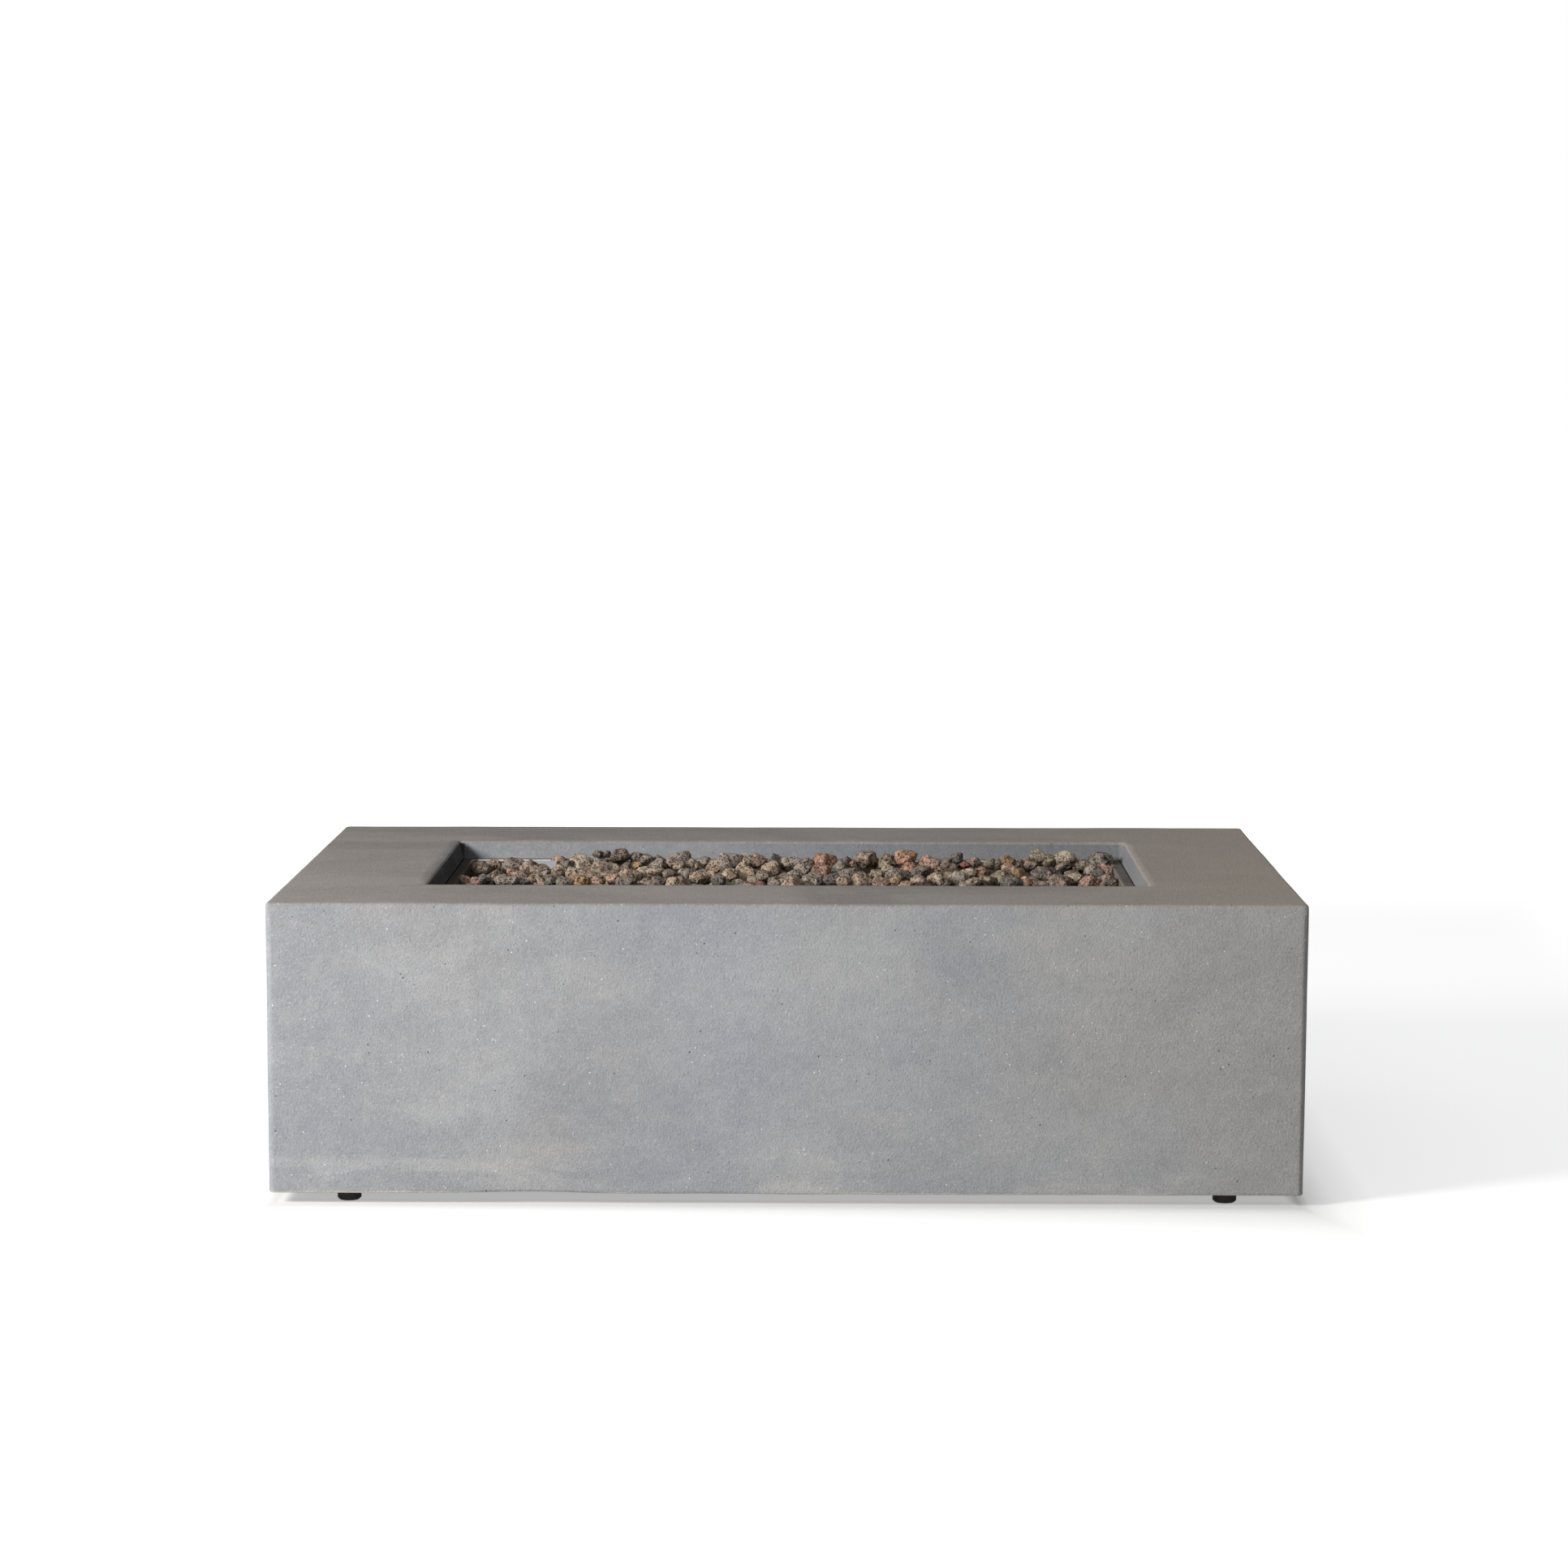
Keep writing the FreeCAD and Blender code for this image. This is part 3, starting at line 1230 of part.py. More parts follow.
def rock_sites(half_length, half_width, pitch, stray, chance):
    """Staggered rows of points, each moved a little at random."""
    columns = max(2, round(2 * half_length / pitch))
    rows = max(2, round(2 * half_width / pitch))
    step_x = 2 * half_length / (columns + 0.5)
    step_y = 2 * half_width / rows
    sites = []
    for row in range(rows):
        for column in range(columns):
            x = -half_length + step_x * (column + 0.5 + 0.5 * (row % 2))
            y = -half_width + step_y * (row + 0.5)
            wander = Vector(chance.uniform(-stray, stray), chance.uniform(-stray, stray), 0)
            sites.append(Vector(x, y, 0) + wander * pitch)
    return sites


def side_planes(sites, pitch, height, chance):
    """For each pair of close neighbours, one tilted plane that parts them."""
    planes = [[] for _ in sites]
    gap = size("rock_gap") / 2
    for i, a in enumerate(sites):
        for j in range(i + 1, len(sites)):
            b = sites[j]
            if (b - a).Length > 2.1 * pitch:
                continue
            normal = (b - a).normalize() + Vector(0, 0, chance.uniform(-0.3, 0.3))
            normal.normalize()
            middle = a + (b - a) * chance.uniform(0.44, 0.56)
            offset = normal.dot(Vector(middle.x, middle.y, height))
            planes[i].append((normal, offset - gap))
            planes[j].append((normal * -1, -offset - gap))
    return planes


def keep_clear(faces, site, boxes):
    """Cut a rock back from each box beside it; a rock inside a box is left out."""
    for low, high in boxes:
        gaps = [
            (low.x - site.x, Vector(1, 0, 0), low.x),
            (site.x - high.x, Vector(-1, 0, 0), -high.x),
            (low.y - site.y, Vector(0, 1, 0), low.y),
            (site.y - high.y, Vector(0, -1, 0), -high.y),
        ]
        room, normal, offset = max(gaps, key=lambda gap: gap[0])
        if room < 3 * size("rock_gap"):
            return []
        faces = cut_away(faces, normal, offset - size("rock_gap"))
    return faces


def to_solid(faces):
    shells = [Part.Face(Part.makePolygon(face + [face[0]])) for face in faces]
    return Part.makeSolid(Part.makeShell(shells))


def rock_layer(pitch, stray, low, high_of, boxes, chance, crown):
    """One layer of stones that fill the pan's width, each standing flat on the level below."""
    wall_gap = size("rock_gap")
    half_length = size("tub_half_length") - size("pan_sheet") - wall_gap
    half_width = size("tub_half_width") - size("pan_sheet") - wall_gap
    corner = size("pan_corner")
    sites = rock_sites(half_length, half_width, pitch, stray, chance)
    planes = side_planes(sites, pitch, low + pitch / 2, chance)
    stones = []
    for site, sides in zip(sites, planes):
        high = high_of(site, half_length, half_width)
        faces = box_faces(Vector(max(site.x - pitch, -half_length), max(site.y - pitch, -half_width), low),
                          Vector(min(site.x + pitch, half_length), min(site.y + pitch, half_width), high))
        for way_x, way_y in CORNERS.values():
            bevel = Vector(way_x, way_y, 0).normalize()
            reach = (half_length + half_width - 0.6 * corner) / math.sqrt(2)
            faces = cut_away(faces, bevel, reach)
        for normal, offset in sides:
            faces = cut_away(faces, normal, offset)
        faces = keep_clear(faces, site, boxes)
        if faces:
            faces = crown(faces, site, low, high, chance)
        if not faces:
            continue
        stone = to_solid(faces)
        if stone.BoundBox.XLength > 0.3 * pitch and stone.BoundBox.YLength > 0.3 * pitch:
            stones.append(stone)
    return stones


def flat_crown(faces, site, low, high, chance):
    return faces


def broken_crown(faces, site, low, high, chance):
    """Break the upper corners of a stone with a few slanted cuts, so that it ends in a blunt peak."""
    turn = chance.uniform(0, 2 * math.pi)
    for cut_number in range(3):
        angle = turn + cut_number * 2 * math.pi / 3 + chance.uniform(-0.5, 0.5)
        slope = chance.uniform(0.8, 1.9)
        normal = Vector(math.cos(angle), math.sin(angle), slope).normalize()
        peak = Vector(site.x, site.y, high) + Vector(math.cos(angle), math.sin(angle), 0) * chance.uniform(3, 9)
        trial = clip(faces, normal, normal.dot(peak))
        if trial and shortest_edge(trial) > 1.5:
            faces = trial
    return faces


def hidden_boxes():
    """The space that the burner and the hood take up in the lower layer, and the hood's in both."""
    margin = size("leg_radius") + 2 * size("rock_gap")
    leg_end = size("leg_length") / 2 + size("rock_gap")
    floor = size("pan_floor")
    top = size("table_height")
    legs = [(Vector(-leg_end, side * size("leg_y") - margin, floor),
             Vector(leg_end, side * size("leg_y") + margin, top)) for side in (-1, 1)]
    reach = size("hub_radius") + size("rock_gap")
    bridge = (Vector(-reach, -size("leg_y"), floor), Vector(reach, size("leg_y"), top))
    hood = (Vector(size("hood_x") - size("hood_length") / 2, size("hood_front"), floor),
            Vector(size("hood_x") + size("hood_length") / 2, size("hood_front") + size("hood_width"), top))
    return legs + [bridge], hood


def lava_rocks():
    """A hidden lower layer and an upper one that is sorted into four colours."""
    chance = random.Random(7)
    burner, hood = hidden_boxes()
    split = size("leg_top")
    base = rock_layer(size("base_pitch"), 0.15, size("pan_floor"), lambda *_: split, burner + [hood], chance,
                      flat_crown)

    def bed_height(site, half_length, half_width):
        """Stones by the walls lie below the pan's lip, and the middle of the bed is heaped."""
        from_wall = min(half_length - abs(site.x), half_width - abs(site.y))
        heap = size("rock_heap") * min(1, from_wall / (2 * size("rock_pitch")))
        peak = size("flange_top") + heap + chance.gauss(0, size("rock_scatter"))
        return min(size("table_height") - size("rock_clearance"), peak)

    upper = rock_layer(size("rock_pitch"), 0.24, split, bed_height, [hood], chance, broken_crown)
    colours = {"charcoal": [], "brown": [], "rust": [], "tan": []}
    for stone in upper:
        colour = chance.choices(list(colours), weights=(30, 44, 13, 13))[0]
        colours[colour].append(stone)
    colours["base"] = base
    print("stones", {colour: len(stones) for colour, stones in colours.items()})
    for colour, stones in colours.items():
        heap = document.addObject("Part::Feature", f"lava_rocks_{colour}")
        heap.Shape = Part.makeCompound(stones)
        node(heap, f"lava_rocks_{colour}")


# Build, check and write

def build():
    table_body()
    burner_pan()
    h_burner()
    burner_saddles()
    burner_nipple()
    pan_locknuts()
    air_mixer()
    gas_orifice()
    gas_inlet_fitting()
    flare_nuts()
    flex_gas_line()
    gas_valve()
    valve_nut()
    valve_push_rod()
    valve_stem()
    control_knob()
    control_panel()
    panel_screws()
    panel_inserts()
    igniter_body()
    igniter_locknut()
    igniter_battery()
    igniter_button()
    igniter_bracket()
    bracket_screws()
    electrode_insulator()
    electrode_tip()
    thermocouple_probe()
    ignition_hood()
    electrode_wire()
    thermocouple_lead()
    foot_inserts()
    for corner, (side_x, side_y) in CORNERS.items():
        foot_stud(corner, side_x, side_y)
        foot_pad(corner, side_x, side_y)
    lava_rocks()
    document.recompute()


def check():
    for thing in document.Objects:
        if "Invalid" in thing.State or "Error" in thing.State:
            owner = [parent.Label for parent in thing.InList]
            raise RuntimeError(f"{thing.Name} of {owner} failed: {thing.State}")
    for thing in nodes:
        if thing.Shape.isNull() or not thing.Shape.isValid():
            raise RuntimeError(f"{thing.Label} has no valid shape")


def write():
    os.makedirs("parts", exist_ok=True)
    for thing in nodes:
        thing.Shape.exportStep(f"parts/{thing.Label}.step")
    print(len(nodes), "nodes written")


build()
check()
write()
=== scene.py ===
import itertools
import math

import bmesh
import bpy
import numpy as np
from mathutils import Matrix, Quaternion, Vector


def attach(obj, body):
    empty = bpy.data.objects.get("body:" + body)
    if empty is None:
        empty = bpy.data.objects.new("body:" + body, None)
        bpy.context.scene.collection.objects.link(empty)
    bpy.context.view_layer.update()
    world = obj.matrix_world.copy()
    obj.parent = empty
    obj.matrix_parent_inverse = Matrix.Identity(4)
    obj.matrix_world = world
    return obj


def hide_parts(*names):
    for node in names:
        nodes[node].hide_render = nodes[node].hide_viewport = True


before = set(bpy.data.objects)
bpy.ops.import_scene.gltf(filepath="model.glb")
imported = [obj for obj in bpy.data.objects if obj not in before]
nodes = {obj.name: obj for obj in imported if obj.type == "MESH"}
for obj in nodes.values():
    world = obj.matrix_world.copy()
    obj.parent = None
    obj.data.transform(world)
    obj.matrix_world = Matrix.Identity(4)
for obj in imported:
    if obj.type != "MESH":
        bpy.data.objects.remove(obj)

scene = bpy.context.scene
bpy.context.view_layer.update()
scene.view_settings.view_transform = "Standard"

# The CAD part's sizes that the looks and the visual shapes follow, in metres. X and Y are half sizes
HALF_X, HALF_Y, TOP = 0.6475, 0.4065, 0.3810
EDGE_ROUND = 0.007
FOOT_EDGE = 0.016
# The ledge that carries the pan, the recess's rim above it, and the inside of the pan
LEDGE = 0.3555
RIM_X, RIM_Y = 0.4640, 0.2295
PAN_X, PAN_Y = 0.4425, 0.2080
# The room that the stones leave for the hood: from and to in X, from and to in Y
HOOD = (-0.3695, -0.3235, 0.1325, 0.1715)
# A face whose middle is farther out than these is on the block's outside, not in its hollow
OUTSIDE_X, OUTSIDE_Y = 0.634, 0.393

# The camera, fitted to the photograph
LENS_MM, SENSOR_MM = 89.62, 36.0
CAMERA_AT = (0.05346, -5.19323, 1.04326)
PITCH, YAW, ROLL = 0.1068, 0.0118, 0.0009
camera = bpy.data.objects.new("camera", bpy.data.cameras.new("camera"))
scene.collection.objects.link(camera)
scene.camera = camera
camera.data.sensor_width = SENSOR_MM
camera.data.lens = LENS_MM
camera.location = CAMERA_AT
level = math.cos(PITCH)
ahead = Vector((-math.sin(YAW) * level, math.cos(YAW) * level, -math.sin(PITCH)))
camera.rotation_mode = "QUATERNION"
camera.rotation_quaternion = ahead.to_track_quat("-Z", "Y") @ Quaternion((0, 0, 1), ROLL)


# Node materials
class Look:
    """A node material as it is put together."""

    def __init__(self, name, metallic=0.0, specular=0.5):
        self.material = bpy.data.materials.new(name)
        self.material.use_nodes = True
        self.tree = self.material.node_tree
        self.shader = self.tree.nodes["Principled BSDF"]
        self.shader.inputs["Metallic"].default_value = metallic
        self.shader.inputs["Specular IOR Level"].default_value = specular
        self.place = self.tree.nodes.new("ShaderNodeTexCoord").outputs["Object"]

    def put(self, socket, value):
        if isinstance(value, bpy.types.NodeSocket):
            self.tree.links.new(value, socket)
        elif isinstance(value, (tuple, list)) and len(value) == 3 and socket.type == "RGBA":
            socket.default_value = (*value, 1.0)
        else:
            socket.default_value = value

    def math(self, operation, a, b=0.0, c=None, clamp=False):
        n = self.tree.nodes.new("ShaderNodeMath")
        n.operation, n.use_clamp = operation, clamp
        self.put(n.inputs[0], a)
        self.put(n.inputs[1], b)
        if c is not None:
            self.put(n.inputs[2], c)
        return n.outputs[0]

    def times(self, *shares):
        """The product of the shares."""
        product = shares[0]
        for share in shares[1:]:
            product = self.math("MULTIPLY", product, share)
        return product

    def stretched(self, by, turn=(0.0, 0.0, 0.0)):
        n = self.tree.nodes.new("ShaderNodeMapping")
        self.put(n.inputs["Vector"], self.place)
        n.inputs["Scale"].default_value = by
        n.inputs["Rotation"].default_value = turn
        return n.outputs[0]

    def noise(self, scale, detail=3.0, rough=0.5, place=None, warp=0.0):
        n = self.tree.nodes.new("ShaderNodeTexNoise")
        self.put(n.inputs["Vector"], place or self.place)
        n.inputs["Scale"].default_value = scale
        n.inputs["Detail"].default_value = detail
        n.inputs["Roughness"].default_value = rough
        n.inputs["Distortion"].default_value = warp
        return n.outputs[0]

    def cells(self, scale):
        """Distance to the nearest of scattered points."""
        n = self.tree.nodes.new("ShaderNodeTexVoronoi")
        self.put(n.inputs["Vector"], self.place)
        n.inputs["Scale"].default_value = scale
        return n.outputs["Distance"]

    def step(self, value, low, high, to_low=0.0, to_high=1.0):
        """A soft step from low to high, which falls where low is the larger."""
        n = self.tree.nodes.new("ShaderNodeMapRange")
        n.interpolation_type = "SMOOTHSTEP"
        for socket, v in zip(n.inputs, (value, low, high, to_low, to_high)):
            self.put(socket, v)
        return n.outputs[0]

    def within(self, value, half, soft):
        """1 up to half on either side of 0, and 0 from half and soft on."""
        return self.step(self.math("ABSOLUTE", value), half + soft, half)

    def mix(self, share, a, b):
        n = self.tree.nodes.new("ShaderNodeMix")
        n.data_type = "RGBA"
        self.put(n.inputs[0], share)
        self.put(n.inputs[6], a)
        self.put(n.inputs[7], b)
        return n.outputs[2]

    def toward(self, colour, tint, *shares):
        """The colour, mixed with a tint by the product of the shares."""
        return self.mix(self.times(*shares), colour, tint)

    def axes(self):
        n = self.tree.nodes.new("ShaderNodeSeparateXYZ")
        self.put(n.inputs[0], self.place)
        return n.outputs

    def bump(self, height, distance, strength=1.0, over=None):
        n = self.tree.nodes.new("ShaderNodeBump")
        self.put(n.inputs["Height"], height)
        n.inputs["Distance"].default_value = distance
        n.inputs["Strength"].default_value = strength
        if over is not None:
            self.put(n.inputs["Normal"], over)
        return n.outputs[0]

    def done(self, colour, roughness, normal):
        self.put(self.shader.inputs["Base Color"], colour)
        self.put(self.shader.inputs["Roughness"], roughness)
        self.put(self.shader.inputs["Normal"], normal)
        return self.material


def cloudy_sides(k, smears):
    """Blue-grey, warmer towards +X, darker towards -X in painted shade that offsets the lamp's brighter left
    side, with clouds of three sizes and a pale foot.
    """
    x, _, z = k.axes()
    clouds = k.noise(2.3, 3.0, 0.55, warp=0.5)
    patches = k.noise(4.2, 5.0, 0.60, k.stretched((1.0, 1.0, 1.25)), warp=0.4)
    blots = k.noise(11.0, 4.0, 0.60, k.stretched((1.0, 1.0, 1.3)), warp=0.3)
    warm = k.math("ADD", k.step(clouds, 0.40, 0.66, 0.0, 0.55), k.step(x, 0.15, 0.60, 0.0, 0.7), clamp=True)
    colour = k.mix(warm, (0.340, 0.356, 0.386), (0.362, 0.355, 0.346))
    # Painted shade: darker towards -X, offsetting the lamp's brighter left side.
    colour = k.toward(colour, (0.240, 0.237, 0.240), k.step(x, 0.0, -0.38, 0.0, 0.45))
    clouding = (
        (patches, 0.48, 0.72, 0.34, (0.455, 0.462, 0.470)),
        (patches, 0.52, 0.30, 0.42, (0.252, 0.264, 0.300)),
        (blots, 0.50, 0.68, 0.20, (0.455, 0.446, 0.432)),
        (blots, 0.50, 0.32, 0.20, (0.265, 0.272, 0.296)),
        (smears, 0.54, 0.72, 0.16, (0.455, 0.430, 0.390)),
        (smears, 0.46, 0.30, 0.12, (0.270, 0.272, 0.285)),
    )
    for cloud, start, full, share, tint in clouding:
        colour = k.toward(colour, tint, k.step(cloud, start, full), share)
    streaks = k.noise(8.0, 5.0, 0.65, k.stretched((1.0, 1.0, 3.6)))
    foot = k.times(k.step(z, 0.105, 0.030), k.step(streaks, 0.47, 0.68))
    return k.toward(colour, (0.500, 0.492, 0.475), foot, 0.42)


def trowelled_top(k, smears):
    """Brown-grey with broad trowel marks, darker than the sides partly as patina and partly as painted shade,
    and paler and warmer towards +X in painted light that offsets the lamp's falloff.
    """
    x = k.axes()[0]
    marks = k.noise(4.2, 4.0, 0.55, k.stretched((0.8, 1.3, 1.0), (0.0, 0.0, 0.35)), warp=0.8)
    # The top's colours are darker than the sides': partly its own patina, partly painted shade for the less
    # light it gets from above.
    colour = k.mix(k.step(marks, 0.34, 0.66), (0.243, 0.221, 0.203), (0.312, 0.287, 0.263))
    # Painted light: paler and warmer towards +X, against the lamp's falloff to the right.
    colour = k.toward(colour, (0.410, 0.350, 0.296), k.step(x, 0.20, 0.62, 0.0, 0.75))
    return k.toward(colour, (0.320, 0.305, 0.285), k.step(smears, 0.56, 0.74), 0.25)


def sandy(k, colour, mottle, coarse, grain):
    """The colour with light and dark grains of sand of three sizes."""
    darker = k.mix(0.07, colour, (0.05, 0.05, 0.06))
    lighter = k.mix(0.05, colour, (0.80, 0.80, 0.80))
    colour = k.mix(k.step(mottle, 0.30, 0.72), darker, lighter)
    dark, light = (0.12, 0.12, 0.13), (0.72, 0.72, 0.71)
    colour = k.toward(colour, dark, k.step(coarse, 0.44, 0.22), 0.13)
    colour = k.toward(colour, light, k.step(coarse, 0.56, 0.78), 0.12)
    colour = k.toward(colour, dark, k.step(grain, 0.46, 0.26), 0.36)
    return k.toward(colour, light, k.step(grain, 0.56, 0.76), 0.34)


def painted_recess_shade(k, colour):
    """The colour with painted shade: a darker recess, a black gap round the pan, a near-black left wall and a
    painted shadow across the back wall's left corner.
    """
    x, y, z = k.axes()
    below_ledge = k.step(z, 0.3300, 0.3400)
    recess = k.times(
        k.within(x, RIM_X + 0.0110, 0.0100),
        k.within(y, RIM_Y + 0.0085, 0.0100),
        k.times(k.step(z, TOP - 0.0025, TOP - 0.0045), below_ledge),
    )
    # Painted shade: the recess darkened, more towards +X.
    colour = k.toward(colour, (0.040, 0.045, 0.060), recess, k.step(x, -0.45, 0.46, 0.12, 0.44))
    # Painted shade: the left wall nearly black in a mottled share, and with less sheen.
    left_end = k.times(recess, k.step(x, -0.4570, -0.4586))
    k.put(k.shader.inputs["Specular IOR Level"], k.math("MULTIPLY_ADD", left_end, -0.22, 0.22))
    soot_and_shade = k.step(k.noise(40.0, 4.0, 0.6), 0.2, 0.6, 0.44, 0.62)
    colour = k.toward(colour, (0.022, 0.020, 0.019), left_end, soot_and_shade)
    # Painted shade: a black line in the gap round the pan.
    round_pan = k.times(k.within(x, RIM_X, 0.0010), k.within(y, RIM_Y + 0.0005, 0.0010))
    gap = k.times(round_pan, k.times(k.step(z, LEDGE + 0.0017, LEDGE + 0.0005), below_ledge))
    colour = k.toward(colour, (0.012, 0.011, 0.011), gap, 0.92)
    # Painted shadow of the left wall, slanting down across the back wall's left end.
    wall_foot, lean = 0.4590, 1.05
    depth = k.math("SUBTRACT", 0.3800, z)
    along = k.math("SUBTRACT", k.math("ADD", x, wall_foot), k.math("MULTIPLY", depth, lean))
    corner = k.times(recess, k.step(y, 0.2230, 0.2250), k.step(along, 0.006, -0.006))
    return k.toward(colour, (0.030, 0.030, 0.034), corner, 0.62)


def concrete():
    """Hand-cast grey concrete with a sandy grain, pinholes, light specks and a cream-coloured foot edge."""
    k = Look("cast_concrete")
    z = k.axes()[2]
    smears = k.noise(17.0, 5.0, 0.62, k.stretched((0.5, 0.5, 1.7)))
    mottle = k.noise(75.0, 5.0, 0.7)
    coarse = k.noise(170.0, 2.0, 0.5)
    grain = k.noise(360.0, 3.0, 0.6)
    # The top's darker colour is partly painted shade.
    colour = k.mix(k.step(z, 0.3755, 0.3800), cloudy_sides(k, smears), trowelled_top(k, smears))
    colour = sandy(k, colour, mottle, coarse, grain)
    uneven = k.math("ADD", z, k.math("MULTIPLY", k.noise(30.0, 2.0, 0.5), 0.003))
    broken = k.step(k.noise(6.0, 2.0, 0.5), 0.35, 0.6, 0.15, 0.85)
    foot_edge = k.step(uneven, FOOT_EDGE + 0.0036, FOOT_EDGE + 0.0022)
    colour = k.toward(colour, (0.600, 0.565, 0.480), foot_edge, broken)
    hole = k.times(k.step(k.cells(62.0), 0.075, 0.035), k.step(k.noise(17.0, 2.0, 0.5), 0.47, 0.60))
    colour = k.toward(colour, (0.045, 0.043, 0.042), hole, 0.85)
    speck = k.times(k.step(k.cells(88.0), 0.090, 0.050), k.step(k.noise(23.0, 2.0, 0.5), 0.48, 0.56))
    colour = k.toward(colour, (0.86, 0.86, 0.84), speck, 0.85)
    # Painted shade in the recess, round the pan and across its left corner.
    colour = painted_recess_shade(k, colour)
    normal = k.bump(mottle, 0.0016, 0.35)
    normal = k.bump(coarse, 0.0010, 0.22, normal)
    normal = k.bump(grain, 0.0012, 0.75, normal)
    normal = k.bump(k.math("SUBTRACT", 1.0, hole), 0.0012, 0.8, normal)
    return k.done(colour, k.step(mottle, 0.2, 0.8, 0.78, 0.94), normal)


def lava(name):
    """Porous volcanic stone.

    Each stone's own tone is in the mesh. The tone's fourth value is painted shade: how dark a point
    is in a pit or low on its stone.
    """
    k = Look(name, specular=0.18)
    tone = k.tree.nodes.new("ShaderNodeAttribute")
    tone.attribute_name = "tone"
    broad = k.noise(95.0, 4.0, 0.65)
    fine = k.noise(520.0, 4.0, 0.7)
    pores = k.cells(270.0)
    small = k.cells(760.0)
    colour = tone.outputs["Color"]
    darker = k.mix(0.56, colour, (0.040, 0.034, 0.032))
    lighter = k.mix(0.27, colour, (0.86, 0.71, 0.56))
    colour = k.mix(k.step(broad, 0.36, 0.66), darker, lighter)
    darker = k.mix(0.54, colour, (0.03, 0.027, 0.025))
    lighter = k.mix(0.21, colour, (0.85, 0.76, 0.66))
    colour = k.mix(k.step(fine, 0.30, 0.72), darker, lighter)
    colour = k.toward(colour, (0.018, 0.016, 0.015), k.step(pores, 0.36, 0.14), 0.84)
    # Painted shade in pits and low on each stone, from the tone's fourth value.
    colour = k.toward(colour, (0.020, 0.017, 0.016), tone.outputs["Alpha"], 0.90)
    normal = k.bump(k.step(pores, 0.05, 0.45), 0.0020, 0.9)
    normal = k.bump(small, 0.0008, 0.8, normal)
    normal = k.bump(fine, 0.0010, 0.8, normal)
    return k.done(colour, k.step(fine, 0.2, 0.8, 0.86, 0.98), normal)


def brushed(name, colour, along, roughness=0.34, tint=None, grime=0.25):
    """Sheet or tube metal with fine lines along one axis, dirt and, where it gets hot, a straw tint."""
    k = Look(name, metallic=1.0)
    by = tuple(14.0 if i == along else 900.0 for i in range(3))
    line = k.noise(1.0, 3.0, 0.6, k.stretched(by))
    cloud = k.noise(16.0, 4.0, 0.6)
    spots = k.noise(140.0, 4.0, 0.7)
    darker = tuple(v * 0.88 for v in colour)
    lighter = tuple(v * 1.10 for v in colour)
    c = k.mix(k.step(line, 0.3, 0.7), darker, lighter)
    if tint is not None:
        c = k.toward(c, tint, k.step(cloud, 0.42, 0.66), 0.6)
    c = k.toward(c, (0.10, 0.09, 0.08), k.step(spots, 0.56, 0.74), grime)
    smooth = k.step(cloud, 0.3, 0.7, roughness - 0.07, roughness + 0.09)
    rough = k.math("ADD", smooth, k.step(spots, 0.5, 0.75, 0.0, 0.14))
    return k.done(c, rough, k.bump(line, 0.00012, 0.5, k.bump(spots, 0.0002, 0.3)))


def plated(name, colour, other, roughness=0.38, scale=130.0):
    """Zinc plate or die-cast metal: faint crystals, handling marks and small dents."""
    k = Look(name, metallic=1.0)
    cloud = k.noise(45.0, 4.0, 0.65)
    fine = k.noise(800.0, 3.0, 0.6)
    c = k.mix(k.step(k.cells(scale), 0.1, 0.8), colour, other)
    c = k.toward(c, tuple(v * 0.45 for v in other), k.step(cloud, 0.50, 0.72), 0.45)
    normal = k.bump(fine, 0.00025, 0.5, k.bump(cloud, 0.0003, 0.3))
    return k.done(c, k.step(cloud, 0.3, 0.7, roughness - 0.08, roughness + 0.12), normal)


def turned(name, colour, tarnish, roughness=0.26):
    """Machined brass or drawn copper, tarnished in patches, with fine tool lines."""
    k = Look(name, metallic=1.0)
    cloud = k.noise(55.0, 5.0, 0.65, warp=0.4)
    line = k.noise(1.0, 2.0, 0.5, k.stretched((1500.0, 260.0, 1500.0)))
    c = k.mix(k.step(line, 0.3, 0.7), tuple(v * 0.92 for v in colour), colour)
    c = k.toward(c, tarnish, k.step(cloud, 0.44, 0.68), 0.65)
    normal = k.bump(line, 0.0001, 0.5, k.bump(cloud, 0.0002, 0.3))
    return k.done(c, k.step(cloud, 0.3, 0.7, roughness - 0.05, roughness + 0.22), normal)


def moulded(name, colour, worn, roughness=0.5, scale=1500.0, specular=0.45, mark=None):
    """Moulded plastic or rubber: a fine spark-eroded texture, dust, and paler wear."""
    k = Look(name, specular=specular)
    grain = k.noise(scale, 2.0, 0.5)
    cloud = k.noise(60.0, 5.0, 0.65)
    dust = k.noise(320.0, 5.0, 0.75)
    paler = tuple(0.7 * a + 0.3 * b for a, b in zip(colour, worn))
    c = k.mix(k.step(cloud, 0.35, 0.7), colour, paler)
    c = k.toward(c, worn, k.step(dust, 0.56, 0.74), 0.55)
    if mark is not None:
        c = mark(k, c)
    normal = k.bump(grain, 0.00018, 0.5, k.bump(dust, 0.0002, 0.25))
    return k.done(c, k.step(cloud, 0.3, 0.7, roughness - 0.07, roughness + 0.12), normal)


def pointer(k, colour):
    """A rubbed white line filled into the knob's pointer."""
    x, y, z = k.axes()
    knob_y, half_line = -0.038, 0.00075
    line = k.times(
        k.within(k.math("ADD", y, -knob_y), half_line, 0.00020),
        k.times(k.step(z, 0.1945, 0.1952), k.step(x, -0.6405, -0.6410)),
    )
    worn = k.step(k.noise(900.0, 3.0, 0.6), 0.34, 0.46, 0.35, 0.95)
    return k.toward(colour, (0.74, 0.73, 0.70), line, worn)


